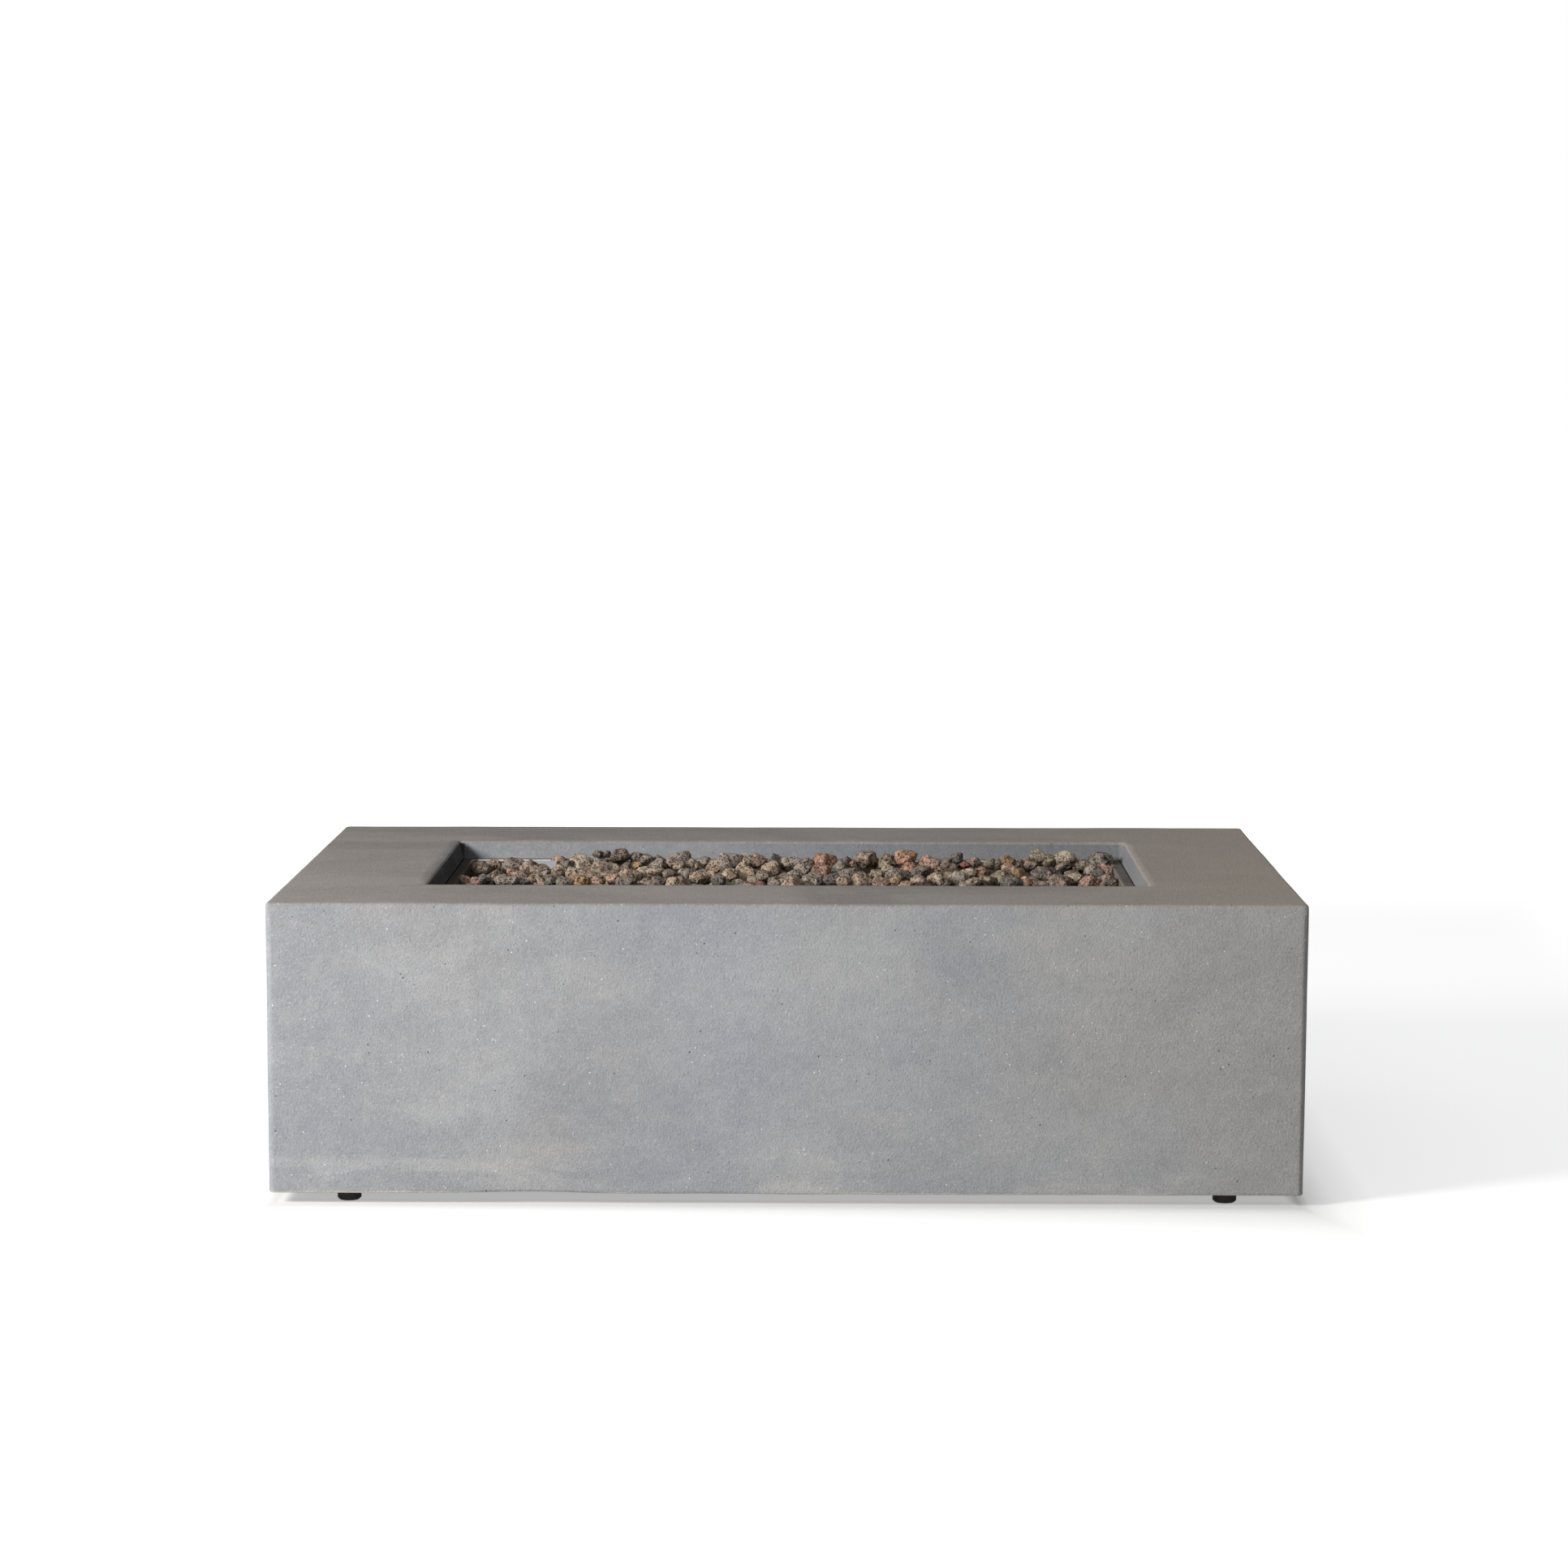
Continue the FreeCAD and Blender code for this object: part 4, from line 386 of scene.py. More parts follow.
def unglazed():
    """White technical ceramic with a warm body, pores and soot near the hot end."""
    k = Look("ceramic_body", specular=0.4)
    z = k.axes()[2]
    cloud = k.noise(90.0, 4.0, 0.6)
    pores = k.cells(900.0)
    c = k.mix(k.step(cloud, 0.35, 0.7), (0.78, 0.75, 0.68), (0.86, 0.84, 0.79))
    c = k.toward(c, (0.40, 0.37, 0.32), k.step(pores, 0.25, 0.08), 0.5)
    soot_and_shade = k.times(k.step(z, 0.309, 0.322), k.step(k.noise(150.0, 4.0, 0.7), 0.40, 0.62))
    c = k.toward(c, (0.09, 0.08, 0.07), soot_and_shade, 0.7)
    return k.done(c, k.step(cloud, 0.3, 0.7, 0.45, 0.65), k.bump(pores, 0.0001, 0.5))


def pan_metal():
    """Dull heat-tinted sheet, with a painted highlight along the back's inner lip and painted shade at the
    left end.
    """
    k = Look("pan_steel")
    x, y, z = k.axes()
    line = k.noise(1.0, 3.0, 0.6, k.stretched((14.0, 900.0, 900.0)))
    cloud = k.noise(16.0, 4.0, 0.6)
    spots = k.noise(140.0, 4.0, 0.7)
    c = k.mix(k.step(line, 0.3, 0.7), (0.150, 0.134, 0.118), (0.195, 0.176, 0.158))
    c = k.toward(c, (0.125, 0.108, 0.090), k.step(cloud, 0.42, 0.66), 0.6)
    c = k.toward(c, (0.060, 0.054, 0.048), k.step(spots, 0.56, 0.74), 0.45)
    # Painted highlight along the inner lip's bend, strongest at the back.
    lip = k.times(
        k.step(z, LEDGE - 0.0005, LEDGE + 0.0003),
        k.times(k.within(x, PAN_X + 0.0031, 0.0010), k.within(y, PAN_Y + 0.0028, 0.0010)),
        k.step(y, 0.150, 0.205, 0.12, 1.0),
        k.step(spots, 0.40, 0.62, 1.0, 0.65),
    )
    c = k.toward(c, (0.780, 0.750, 0.700), lip)
    # Painted shade at the left end.
    left_end = k.step(x, -0.4345, -0.4390)
    c = k.toward(c, (0.040, 0.034, 0.030), left_end, 0.55)
    ends = k.step(k.math("ABSOLUTE", x), 0.4345, 0.4390)
    k.put(k.shader.inputs["Metallic"], k.math("MULTIPLY_ADD", ends, -0.35, 0.35))
    k.put(k.shader.inputs["Specular IOR Level"], k.math("MULTIPLY_ADD", ends, -0.20, 0.20))
    rough = k.math("ADD", k.step(cloud, 0.3, 0.7, 0.40, 0.56), k.step(spots, 0.5, 0.75, 0.0, 0.12))
    return k.done(c, rough, k.bump(line, 0.00012, 0.4, k.bump(spots, 0.0002, 0.3)))


# Numbers for shapes
def hashed(cell, seed):
    """An even number from 0 to 1 for each whole-numbered cell."""
    a = cell.astype(np.uint64)
    n = sum(a[..., i] * np.uint64(v) for i, v in enumerate((374761393, 668265263, 2246822519)))
    n = (n + np.uint64(seed * 974634777 + 12345)) & np.uint64(0xFFFFFFFF)
    for shift, factor in ((15, 2246822519), (13, 3266489917)):
        n = ((n ^ (n >> np.uint64(shift))) * np.uint64(factor)) & np.uint64(0xFFFFFFFF)
    n = n ^ (n >> np.uint64(16))
    return n.astype(float) / 4294967296.0


def hashed_3(cell, seed):
    """Three even numbers from 0 to 1 for each cell."""
    return np.stack([hashed(cell, seed + i) for i in range(3)], -1)


def lumps(points, size, seed=0):
    """Smooth noise from about -1 to 1, with lumps about size metres across."""
    p = np.asarray(points, float) / size + 1000.0
    cell = np.floor(p)
    f = p - cell
    w = f * f * f * (f * (f * 6 - 15) + 10)
    total = np.zeros(len(p))
    for corner in itertools.product((0, 1), repeat=3):
        corner = np.array(corner, float)
        lean = hashed_3(cell + corner, seed * 3) * 2 - 1
        share = np.prod(np.where(corner > 0, w, 1 - w), axis=-1)
        total += share * np.sum(lean * (f - corner), axis=-1)
    return total * 1.6


def pits(points, size, seed=0):
    """Distance to the nearest of scattered points, in units of size."""
    p = np.asarray(points, float) / size + 1000.0
    cell = np.floor(p)
    best = np.full(len(p), 9.0)
    for step in itertools.product((-1, 0, 1), repeat=3):
        at = cell + np.array(step, float)
        spot = at + hashed_3(at, seed * 3 + 50)
        best = np.minimum(best, np.linalg.norm(spot - p, axis=-1))
    return best


def ease(v, low, high):
    t = np.clip((v - low) / (high - low), 0.0, 1.0)
    return t * t * (3 - 2 * t)


def chance(count, seed):
    """Even random numbers from 0 to 1, the same in every run."""
    return np.random.default_rng(seed).random(count)


# Meshes and pieces
def shown(name, mesh, material, body, slot, *replaced):
    """A new piece of the object, riding on a body and standing for CAD nodes."""
    o = bpy.data.objects.new(name, mesh)
    scene.collection.objects.link(o)
    mesh.materials.clear()
    mesh.materials.append(material)
    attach(o, body)
    if replaced:
        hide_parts(*replaced)
    return o


def joined(node):
    """The CAD node's faces in a bmesh, with its split corners joined."""
    bm = bmesh.new()
    bm.from_mesh(nodes[node].data)
    bmesh.ops.remove_doubles(bm, verts=bm.verts, dist=4e-6)
    return bm


def solids_of(node):
    """The corner points of each separate solid of a CAD node."""
    bm = joined(node)
    seen, found = set(), []
    for start in bm.verts:
        if start in seen:
            continue
        group, todo = [], [start]
        seen.add(start)
        while todo:
            v = todo.pop()
            group.append(v.co.copy())
            for e in v.link_edges:
                w = e.other_vert(v)
                if w not in seen:
                    seen.add(w)
                    todo.append(w)
        found.append(np.array(group))
    bm.free()
    return found


def smooth_mesh(name, points, faces):
    mesh = bpy.data.meshes.new(name)
    mesh.from_pydata(points, [], faces)
    mesh.polygons.foreach_set("use_smooth", [True] * len(mesh.polygons))
    mesh.update()
    return mesh


# Concrete body
GRID = 0.018


def faces_outward(centre):
    """Whether a face of the concrete is outside or in the recess, and not in the hollow below."""
    return abs(centre.x) > OUTSIDE_X or abs(centre.y) > OUTSIDE_Y or centre.z > LEDGE + 0.0010


def gridded_body():
    """The CAD block, with its outer faces cut along planes so that they can follow the waves of a cast."""
    bm = joined("table_body")
    outer = bm.faces.layers.int.new("outer")
    for f in bm.faces:
        if faces_outward(f.calc_center_median()):
            f[outer] = 1
    for axis, first, reach in ((0, -0.642, 0.648), (1, -0.401, 0.407), (2, 0.02, TOP)):
        for at in np.arange(first, reach, GRID):
            faces = [f for f in bm.faces if f[outer]]
            edges = list({e for f in faces for e in f.edges})
            verts = list({v for f in faces for v in f.verts})
            out = [0.0, 0.0, 0.0]
            out[axis] = 1.0
            co = [0.0, 0.0, 0.0]
            co[axis] = float(at)
            bmesh.ops.bisect_plane(bm, geom=verts + edges + faces, dist=2e-5, plane_co=co, plane_no=out)
    bmesh.ops.triangulate(bm, faces=[f for f in bm.faces if len(f.verts) > 4])
    mesh = bpy.data.meshes.new("cast_body")
    bm.to_mesh(mesh)
    bm.free()
    return mesh


def tightened_edges(p):
    """The points with the top edge's round drawn tighter and the foot edge nearly sharp."""
    q = p.copy()
    tight = 0.60
    rise = np.clip((p[:, 2] - (TOP - EDGE_ROUND)) / EDGE_ROUND, 0, 1)
    for axis, half in ((0, HALF_X), (1, HALF_Y)):
        out = np.clip((np.abs(p[:, axis]) - (half - EDGE_ROUND)) / EDGE_ROUND, 0, 1)
        curved = (rise > 0) & (out > 0)
        reach = half - EDGE_ROUND + EDGE_ROUND * out[curved] ** tight
        q[curved, axis] = np.sign(p[curved, axis]) * reach
        q[curved, 2] = TOP - EDGE_ROUND + EDGE_ROUND * rise[curved] ** tight
    x, y, z = p.T
    foot = (z < 0.0188) & ((np.abs(x) > 0.6445) | (np.abs(y) > 0.4035))
    q[foot, 2] = FOOT_EDGE + (z[foot] - FOOT_EDGE) * 0.35
    return q


def waved(p, q):
    """The tightened points q with the waves, chips and uneven foot of a cast; p are the CAD's points."""
    x, y, z = p.T
    far_x, far_y = np.abs(x), np.abs(y)
    wave = 0.5 + 0.5 * np.clip(0.9 * lumps(p, 0.34, 1) + 0.5 * lumps(p, 0.11, 2), -1, 1)
    small = 0.5 + 0.5 * np.clip(lumps(p, 0.045, 3), -1, 1)
    edge = ease(z, 0.352, TOP) * 0.0007 * (0.5 + 0.5 * np.clip(lumps(p, 0.16, 7), -1, 1))
    inward = 0.0009 * wave + 0.0004 * small + edge
    q[:, 0] -= np.sign(x) * ease(far_x, OUTSIDE_X, HALF_X - 0.0003) * inward
    q[:, 1] -= np.sign(y) * ease(far_y, OUTSIDE_Y, HALF_Y - 0.0003) * inward
    q[:, 2] -= ease(z, 0.3715, TOP - 0.0002) * (0.0006 * wave + 0.0003 * small)
    wall = ease(z, LEDGE + 0.0017, LEDGE + 0.0045) * ((far_x < 0.480) & (far_y < 0.246))
    chips = 0.0016 * ease(z, 0.370, 0.380) * np.clip(lumps(p, 0.030, 9), 0, 1)
    outward = 0.0009 * wave + 0.0005 * small + chips
    q[:, 0] += np.sign(x) * wall * (far_x > 0.462) * outward
    q[:, 1] += np.sign(y) * wall * (far_y > 0.228) * outward
    inner = (far_x < 0.4685) & (far_y < 0.2340)
    chamfer = inner & (z > 0.3780) & ((far_x > 0.4635) | (far_y > 0.2290))
    smaller, chamfer_width = 0.54, 0.003
    q[chamfer, 2] += (TOP - z[chamfer]) * smaller
    q[:, 0] -= np.sign(x) * smaller * chamfer * np.clip(far_x - RIM_X, 0, chamfer_width)
    q[:, 1] -= np.sign(y) * smaller * chamfer * np.clip(far_y - RIM_Y, 0, chamfer_width)
    skirt = np.maximum(ease(far_x, 0.6265, 0.6295), ease(far_y, 0.3855, 0.3885)) * ease(z, 0.060, 0.017)
    flat = p * (1, 1, 0)
    lift = 0.0012 * np.clip(0.2 + lumps(flat, 0.20, 5) + 0.4 * lumps(flat, 0.06, 6), 0, 1)
    lift += 0.0028 * np.exp(-(((x + 0.315) / 0.070) ** 2)) * (y < 0)
    q[:, 2] += skirt * (lift - 0.0015)
    lean_in = 0.0026
    q[:, 0] -= ease(x, OUTSIDE_X, HALF_X - 0.0003) * lean_in * (1 - np.clip(z / 0.36, 0, 1))
    return q


def cast_body():
    mesh = gridded_body()
    p = np.zeros(len(mesh.vertices) * 3)
    mesh.vertices.foreach_get("co", p)
    p = p.reshape(-1, 3)
    mesh.vertices.foreach_set("co", waved(p, tightened_edges(p)).ravel())
    mesh.update()
    for f in mesh.polygons:
        f.use_smooth = faces_outward(f.center) or f.area < 8e-5
    mesh.set_sharp_from_angle(angle=math.radians(50))
    return shown("cast_body", mesh, concrete(), "root", "concrete", "table_body")


# Lava stones
TONES = {
    "charcoal": (0.088, 0.081, 0.083),
    "grey": (0.330, 0.272, 0.226),
    "brown": (0.345, 0.220, 0.148),
    "olive": (0.390, 0.298, 0.168),
    "rust": (0.620, 0.260, 0.135),
    "pink": (0.750, 0.385, 0.270),
    "red": (0.620, 0.120, 0.080),
    "ochre": (0.780, 0.400, 0.100),
    "tan": (0.665, 0.456, 0.288),
    "cream": (0.890, 0.695, 0.490),
}
GROUPS = {
    "charcoal": ("charcoal", "grey"),
    "brown": ("brown", "olive"),
    "rust": ("rust", "pink", "red", "ochre"),
    "tan": ("tan", "cream"),
}
SHARES = {
    "grey": 0.27,
    "brown": 0.21,
    "tan": 0.16,
    "charcoal": 0.13,
    "olive": 0.08,
    "rust": 0.06,
    "pink": 0.05,
    "cream": 0.04,
}
# The stones that the photograph shows. Round the hood: x, y, top and width in mm, and tone
ROUND_HOOD = (
    (-355, 116, 370, 29, "brown"), (-385, 146, 368, 25, "grey"), (-322, 116, 364, 23, "tan"),
    (-341, 111, 364, 24, "brown"),
)
# All others: the middle's pixels across and down in the photograph, the width in pixels, and the tone
IN_PICTURE = (
    (567, 1079, 17, "pink"), (581, 1062, 23, "pink"), (598, 1067, 17, "olive"), (598, 1077, 15, "charcoal"),
    (588, 1082, 14, "pink"), (608, 1060, 19, "tan"), (594, 1062, 12, "grey"), (627, 1058, 27, "grey"),
    (633, 1071, 13, "rust"), (611, 1073, 18, "brown"), (621, 1079, 17, "grey"), (634, 1080, 15, "grey"),
    (646, 1059, 20, "tan"), (644, 1074, 18, "brown"), (645, 1079, 19, "charcoal"), (671, 1064, 24, "grey"),
    (658, 1079, 12, "tan"), (668, 1078, 24, "tan"), (657, 1067, 12, "olive"), (691, 1056, 21, "pink"),
    (694, 1061, 17, "grey"), (688, 1068, 17, "brown"), (680, 1080, 14, "charcoal"), (697, 1081, 18, "grey"),
    (708, 1068, 21, "cream"), (719, 1054, 30, "cream"), (717, 1080, 20, "ochre"), (724, 1073, 16, "brown"),
    (734, 1074, 18, "tan"), (739, 1081, 14, "pink"), (747, 1061, 32, "tan"), (738, 1048, 12, "charcoal"),
    (749, 1050, 10, "charcoal"), (741, 1056, 18, "grey"), (765, 1045, 23, "brown"),
    (773, 1064, 14, "brown"), (777, 1070, 24, "tan"), (757, 1078, 16, "pink"), (772, 1080, 22, "grey"),
    (786, 1051, 15, "grey"), (797, 1053, 14, "grey"), (787, 1059, 17, "ochre"), (796, 1068, 21, "cream"),
    (810, 1068, 16, "tan"), (812, 1056, 24, "grey"), (828, 1057, 13, "tan"), (813, 1080, 15, "charcoal"),
    (825, 1072, 14, "brown"), (839, 1049, 25, "grey"), (838, 1062, 15, "tan"), (854, 1058, 24, "cream"),
    (869, 1057, 14, "grey"), (843, 1070, 24, "grey"), (834, 1081, 26, "tan"), (859, 1075, 16, "tan"),
    (880, 1060, 20, "tan"), (872, 1072, 20, "tan"), (893, 1055, 12, "charcoal"), (900, 1052, 32, "grey"),
    (898, 1071, 20, "tan"), (886, 1078, 15, "charcoal"), (922, 1052, 20, "cream"), (936, 1053, 21, "pink"),
    (920, 1068, 35, "tan"), (915, 1063, 14, "tan"), (955, 1053, 17, "charcoal"), (950, 1062, 20, "tan"),
    (942, 1073, 18, "brown"), (968, 1056, 20, "cream"), (981, 1056, 16, "grey"), (993, 1057, 14, "brown"),
    (991, 1065, 22, "grey"), (978, 1073, 14, "grey"), (975, 1081, 28, "tan"), (1000, 1075, 24, "grey"),
    (956, 1081, 16, "grey"), (1018, 1053, 28, "rust"), (1012, 1067, 24, "rust"), (1035, 1062, 19, "grey"),
    (1050, 1061, 12, "pink"), (1045, 1070, 26, "grey"), (1025, 1077, 20, "charcoal"),
    (1040, 1080, 16, "tan"), (1062, 1075, 26, "tan"), (1067, 1050, 25, "brown"),
    (1042, 1057, 14, "charcoal"), (1090, 1054, 25, "olive"), (1080, 1072, 17, "olive"),
    (1098, 1066, 26, "cream"), (1115, 1049, 25, "rust"), (1120, 1063, 22, "rust"),
    (1105, 1074, 22, "charcoal"), (1085, 1082, 20, "pink"), (1103, 1082, 12, "ochre"),
    (1143, 1054, 25, "pink"), (1135, 1067, 22, "grey"), (1131, 1079, 18, "tan"), (1155, 1076, 27, "cream"),
    (1165, 1059, 26, "brown"), (1175, 1052, 17, "charcoal"), (1187, 1061, 12, "red"),
    (1200, 1057, 14, "brown"), (1205, 1069, 24, "rust"), (1180, 1074, 26, "grey"),
    (1192, 1070, 18, "cream"), (1198, 1082, 16, "tan"), (1216, 1080, 22, "olive"),
    (1219, 1059, 16, "olive"), (1232, 1058, 17, "grey"), (1238, 1055, 18, "ochre"),
    (1243, 1064, 18, "pink"), (1253, 1059, 16, "brown"), (1254, 1071, 21, "ochre"),
    (1226, 1074, 22, "olive"), (1245, 1080, 24, "charcoal"), (1262, 1080, 16, "pink"),
    (1278, 1045, 23, "cream"), (1272, 1056, 20, "brown"), (1289, 1054, 22, "olive"),
    (1284, 1069, 28, "charcoal"), (1311, 1049, 25, "cream"), (1308, 1059, 23, "grey"),
    (1328, 1060, 17, "brown"), (1304, 1078, 24, "brown"), (1323, 1076, 24, "cream"),
    (1345, 1066, 20, "grey"), (1351, 1070, 14, "charcoal"), (1340, 1079, 22, "pink"),
    (1355, 1051, 27, "grey"), (1369, 1066, 26, "pink"), (1360, 1078, 28, "brown"),
    (1335, 1062, 14, "olive"),
)
# The first fit of the camera, in pixels and radians, which gives these stones their places in the heap
SIGHT_FOCAL, SIGHT_CENTRE = 4785.1, 966
SIGHT_PITCH, SIGHT_YAW, SIGHT_ROLL = 0.1064, 0.0118, 0.0012
HEAP_FRONT, HEAP_BACK, HEAP_STEP = -0.020, 0.186, 0.002
HEAP_LEVEL, HEAP_TOP = 0.3615, 0.3768
# How much wider a stone is than the part of it that shows
WHOLE_WIDTH = 1.22


def sized(width, a, b):
    """Width, depth and height of a stone, from its width and two random numbers."""
    return width, width * (0.85 + 0.25 * a), width * (0.72 + 0.24 * b)


def tone_for(number):
    """The tone that a random number picks, by the tones' shares."""
    return list(SHARES)[int(np.searchsorted(np.cumsum(list(SHARES.values())), min(number, 0.999)))]


def crowded(x, y, width, stones, spacing):
    """Whether a stone would stand too near to another."""
    return any(math.hypot(x - s[0], y - s[1]) < spacing * (width + s[3]) for s in stones)


def clear_of_hood(x, y, w, d):
    """The stone's centre, pushed out of the hood by the shortest way."""
    x0, x1, y0, y1 = HOOD
    if x + w / 2 <= x0 or x - w / 2 >= x1 or y + d / 2 <= y0 or y - d / 2 >= y1:
        return x, y
    ways = ((x0 - w / 2 - x, 0), (x1 + w / 2 - x, 0), (0, y0 - d / 2 - y), (0, y1 + d / 2 - y))
    dx, dy = min(ways, key=lambda v: abs(v[0] + v[1]))
    return x + dx, y + dy


def hidden_below(y):
    """The height up to which the front lip hides a stone that stands at y."""
    lip_height, lip_y, fall = 0.3785, -0.230, 0.1334
    return lip_height - (y - lip_y) * fall


def in_heap(across, down, width, tone):
    """x, y, top and width in mm of a stone in the picture, where its line of sight is at the heap's level."""
    flat = math.cos(SIGHT_PITCH)
    forward = np.array((-math.sin(SIGHT_YAW) * flat, math.cos(SIGHT_YAW) * flat, -math.sin(SIGHT_PITCH)))
    right = np.cross(forward, (0, 0, 1))
    right /= np.linalg.norm(right)
    a, b = across - SIGHT_CENTRE, SIGHT_CENTRE - down
    cos, sin = math.cos(SIGHT_ROLL), math.sin(SIGHT_ROLL)
    a, b = a * cos - b * sin, a * sin + b * cos
    sight = forward * SIGHT_FOCAL + right * a + np.cross(right, forward) * b
    y = np.arange(HEAP_FRONT, HEAP_BACK, HEAP_STEP)
    reach = (y - CAMERA_AT[1]) / sight[1]
    z = CAMERA_AT[2] + reach * sight[2]
    best = int(np.argmin(np.abs(z - HEAP_LEVEL)))
    far = reach[best] * 1000
    x = CAMERA_AT[0] * 1000 + far * sight[0]
    top = round(min(z[best], HEAP_TOP) * 1000, 1)
    return round(x), round(y[best] * 1000), round(top), round(width * far), tone


def seen_stones():
    """Centre, three sizes and tone of each stone that the photograph shows."""
    found = []
    past = PAN_X + 0.005
    shown_rows = [*ROUND_HOOD, *(in_heap(*row) for row in IN_PICTURE)]
    for (x, y, top, width, tone), (a, b, _) in zip(shown_rows, chance((len(shown_rows), 3), 1)):
        w, d, h = sized(width / 1000 * WHOLE_WIDTH, a, b)
        x, y = clear_of_hood(x / 1000, y / 1000, w, d)
        x = min(max(x, -past + w / 2), past - w / 2)
        y = min(max(y, -PAN_Y + d / 2), PAN_Y - d / 2)
        found.append((x, y, top / 1000 - h / 2, w, d, h, tone))
    return found


def with_rows(seen):
    """The seen stones and rows of others: one layer all over, and a second one behind the front lip."""
    found = list(seen)
    for layer, (pitch_x, pitch_y, seed) in enumerate(((0.0285, 0.0262, 3), (0.0390, 0.0340, 4))):
        columns = int(2 * PAN_X / pitch_x)
        for row in range(int(2 * PAN_Y / pitch_y)):
            for i, q in enumerate(chance((columns, 8), seed * 100 + row)):
                w, d, h = sized(0.025 + 0.011 * q[0], q[1], q[2])
                x = -PAN_X + pitch_x * (i + 0.5 + 0.5 * (row % 2)) + (q[3] - 0.5) * 0.010
                y = -PAN_Y + pitch_y * (row + 0.55) + (q[4] - 0.5) * 0.009
                x, y = clear_of_hood(x, y, w, d)
                behind_lip = y < HEAP_FRONT
                if abs(x) > PAN_X - w / 2 or abs(y) > PAN_Y - d / 2 or (layer and not behind_lip):
                    continue
                near = seen
                top = (0.3460 if behind_lip else 0.3425) + 0.011 * q[5]
                if layer:
                    near = seen + [s for s in found[len(seen):] if s[2] + s[5] / 2 > 0.3545]
                    top = min(hidden_below(y), 0.3560 + 0.012 * q[5])
                if not crowded(x, y, w, near, spacing=0.24):
                    found.append((x, y, top - h / 2, w, d, h, tone_for(q[6])))
    return found


def with_chips(found):
    """The stones and the chips that have settled where they leave room."""
    found = list(found)
    for a, b, c, e, g in chance((1500, 5), 7):
        w = 0.015 + 0.008 * c
        x, y = clear_of_hood((a * 2 - 1) * (PAN_X - w / 2), (b * 2 - 1) * (PAN_Y - w / 2), w, w)
        if abs(x) > PAN_X - w / 2 or abs(y) > PAN_Y - w / 2 or crowded(x, y, w, found, spacing=0.37):
            continue
        top = 0.3370 + 0.009 * e
        found.append((x, y, top - 0.4 * w, w, w * 0.9, w * 0.8, tone_for(g)))
    return found


def geodesic(n):
    """Directions and triangles of a ball: each face of an icosahedron cut into n by n."""
    g = (1 + math.sqrt(5)) / 2
    corners = np.array([
        (-1, g, 0), (1, g, 0), (-1, -g, 0), (1, -g, 0), (0, -1, g), (0, 1, g),
        (0, -1, -g), (0, 1, -g), (g, 0, -1), (g, 0, 1), (-g, 0, -1), (-g, 0, 1),
    ])
    sides = (
        (0, 11, 5), (0, 5, 1), (0, 1, 7), (0, 7, 10), (0, 10, 11), (1, 5, 9), (5, 11, 4), (11, 10, 2),
        (10, 7, 6), (7, 1, 8), (3, 9, 4), (3, 4, 2), (3, 2, 6), (3, 6, 8), (3, 8, 9), (4, 9, 5),
        (2, 4, 11), (6, 2, 10), (8, 6, 7), (9, 8, 1),
    )
    at, points, triangles = {}, [], []
    for a, b, c in sides:
        own = {}
        for i in range(n + 1):
            for j in range(n + 1 - i):
                v = corners[a] * (n - i - j) + corners[b] * i + corners[c] * j
                v = v / np.linalg.norm(v)
                key = tuple(np.round(v, 5) + 0.0)
                if key not in at:
                    at[key] = len(points)
                    points.append(v)
                own[i, j] = at[key]
        for i in range(n):
            for j in range(n - i):
                triangles.append((own[i, j], own[i + 1, j], own[i, j + 1]))
                if i + j < n - 1:
                    triangles.append((own[i + 1, j], own[i + 1, j + 1], own[i, j + 1]))
    return np.array(points), np.array(triangles)


def porous(boxes, tones, n, seed):
    """Points, triangles and tones of stones that fill the boxes: balls with lumps, flats and pits, with
    painted shade in the pits and low on each stone as each tone's fourth value.
    """
    d, triangles = geodesic(n)
    m, k = len(boxes), len(d)
    rng = np.random.default_rng(seed)
    at = (d[None] + rng.random((m, 1, 3)) * 400.0).reshape(-1, 3)
    r = 1 + 0.26 * lumps(at, 0.95, 31) + 0.13 * lumps(at, 0.45, 32) + 0.05 * lumps(at, 0.22, 33)
    r = r.reshape(m, k)
    for _ in range(9):
        flat = rng.normal(size=(m, 3))
        flat /= np.linalg.norm(flat, axis=1)[:, None]
        off = 0.60 + 0.30 * rng.random(m)
        r = np.minimum(r, off[:, None] / np.maximum(flat @ d.T, 0.2))
    cavity = ease(pits(at, 0.52, 34), 0.42, 0.08).reshape(m, k)
    pit = ease(pits(at, 0.25, 35), 0.44, 0.12).reshape(m, k)
    r *= 1 - 0.17 * cavity - 0.10 * pit
    p = d[None] * r[..., None]
    low, high = p.min(1, keepdims=True), p.max(1, keepdims=True)
    p = (p - (low + high) / 2) / (high - low)
    # Painted shade on each stone's lower part.
    under = 0.62 * ease(p[..., 2], 0.16, -0.30)
    p = p * boxes[:, None, 3:6] + boxes[:, None, 0:3]
    own = np.array([TONES[v] for v in tones])[:, None, :] * (0.76 + 1.06 * rng.random((m, 1, 1)))
    own *= np.minimum(1.0, 0.90 / own.max(2, keepdims=True))
    patch = rng.choice(("tan", "grey", "charcoal", "pink", "olive"), m)
    other = np.array([TONES[v] for v in patch])[:, None, :]
    share = (0.40 * ease(lumps(at, 0.75, 36), 0.10, 0.45)).reshape(m, k, 1)
    # Painted shade: darker in cavities and pits and low on each stone, kept as the tone's fourth value.
    dark = np.clip(0.95 * cavity + 0.55 * pit + under, 0, 1)[..., None]
    colour = np.concatenate([own * (1 - share) + other * share, dark], 2)
    faces = (triangles[None] + (np.arange(m) * k)[:, None, None]).reshape(-1, 3)
    return p.reshape(-1, 3), faces, colour.reshape(-1, 4)


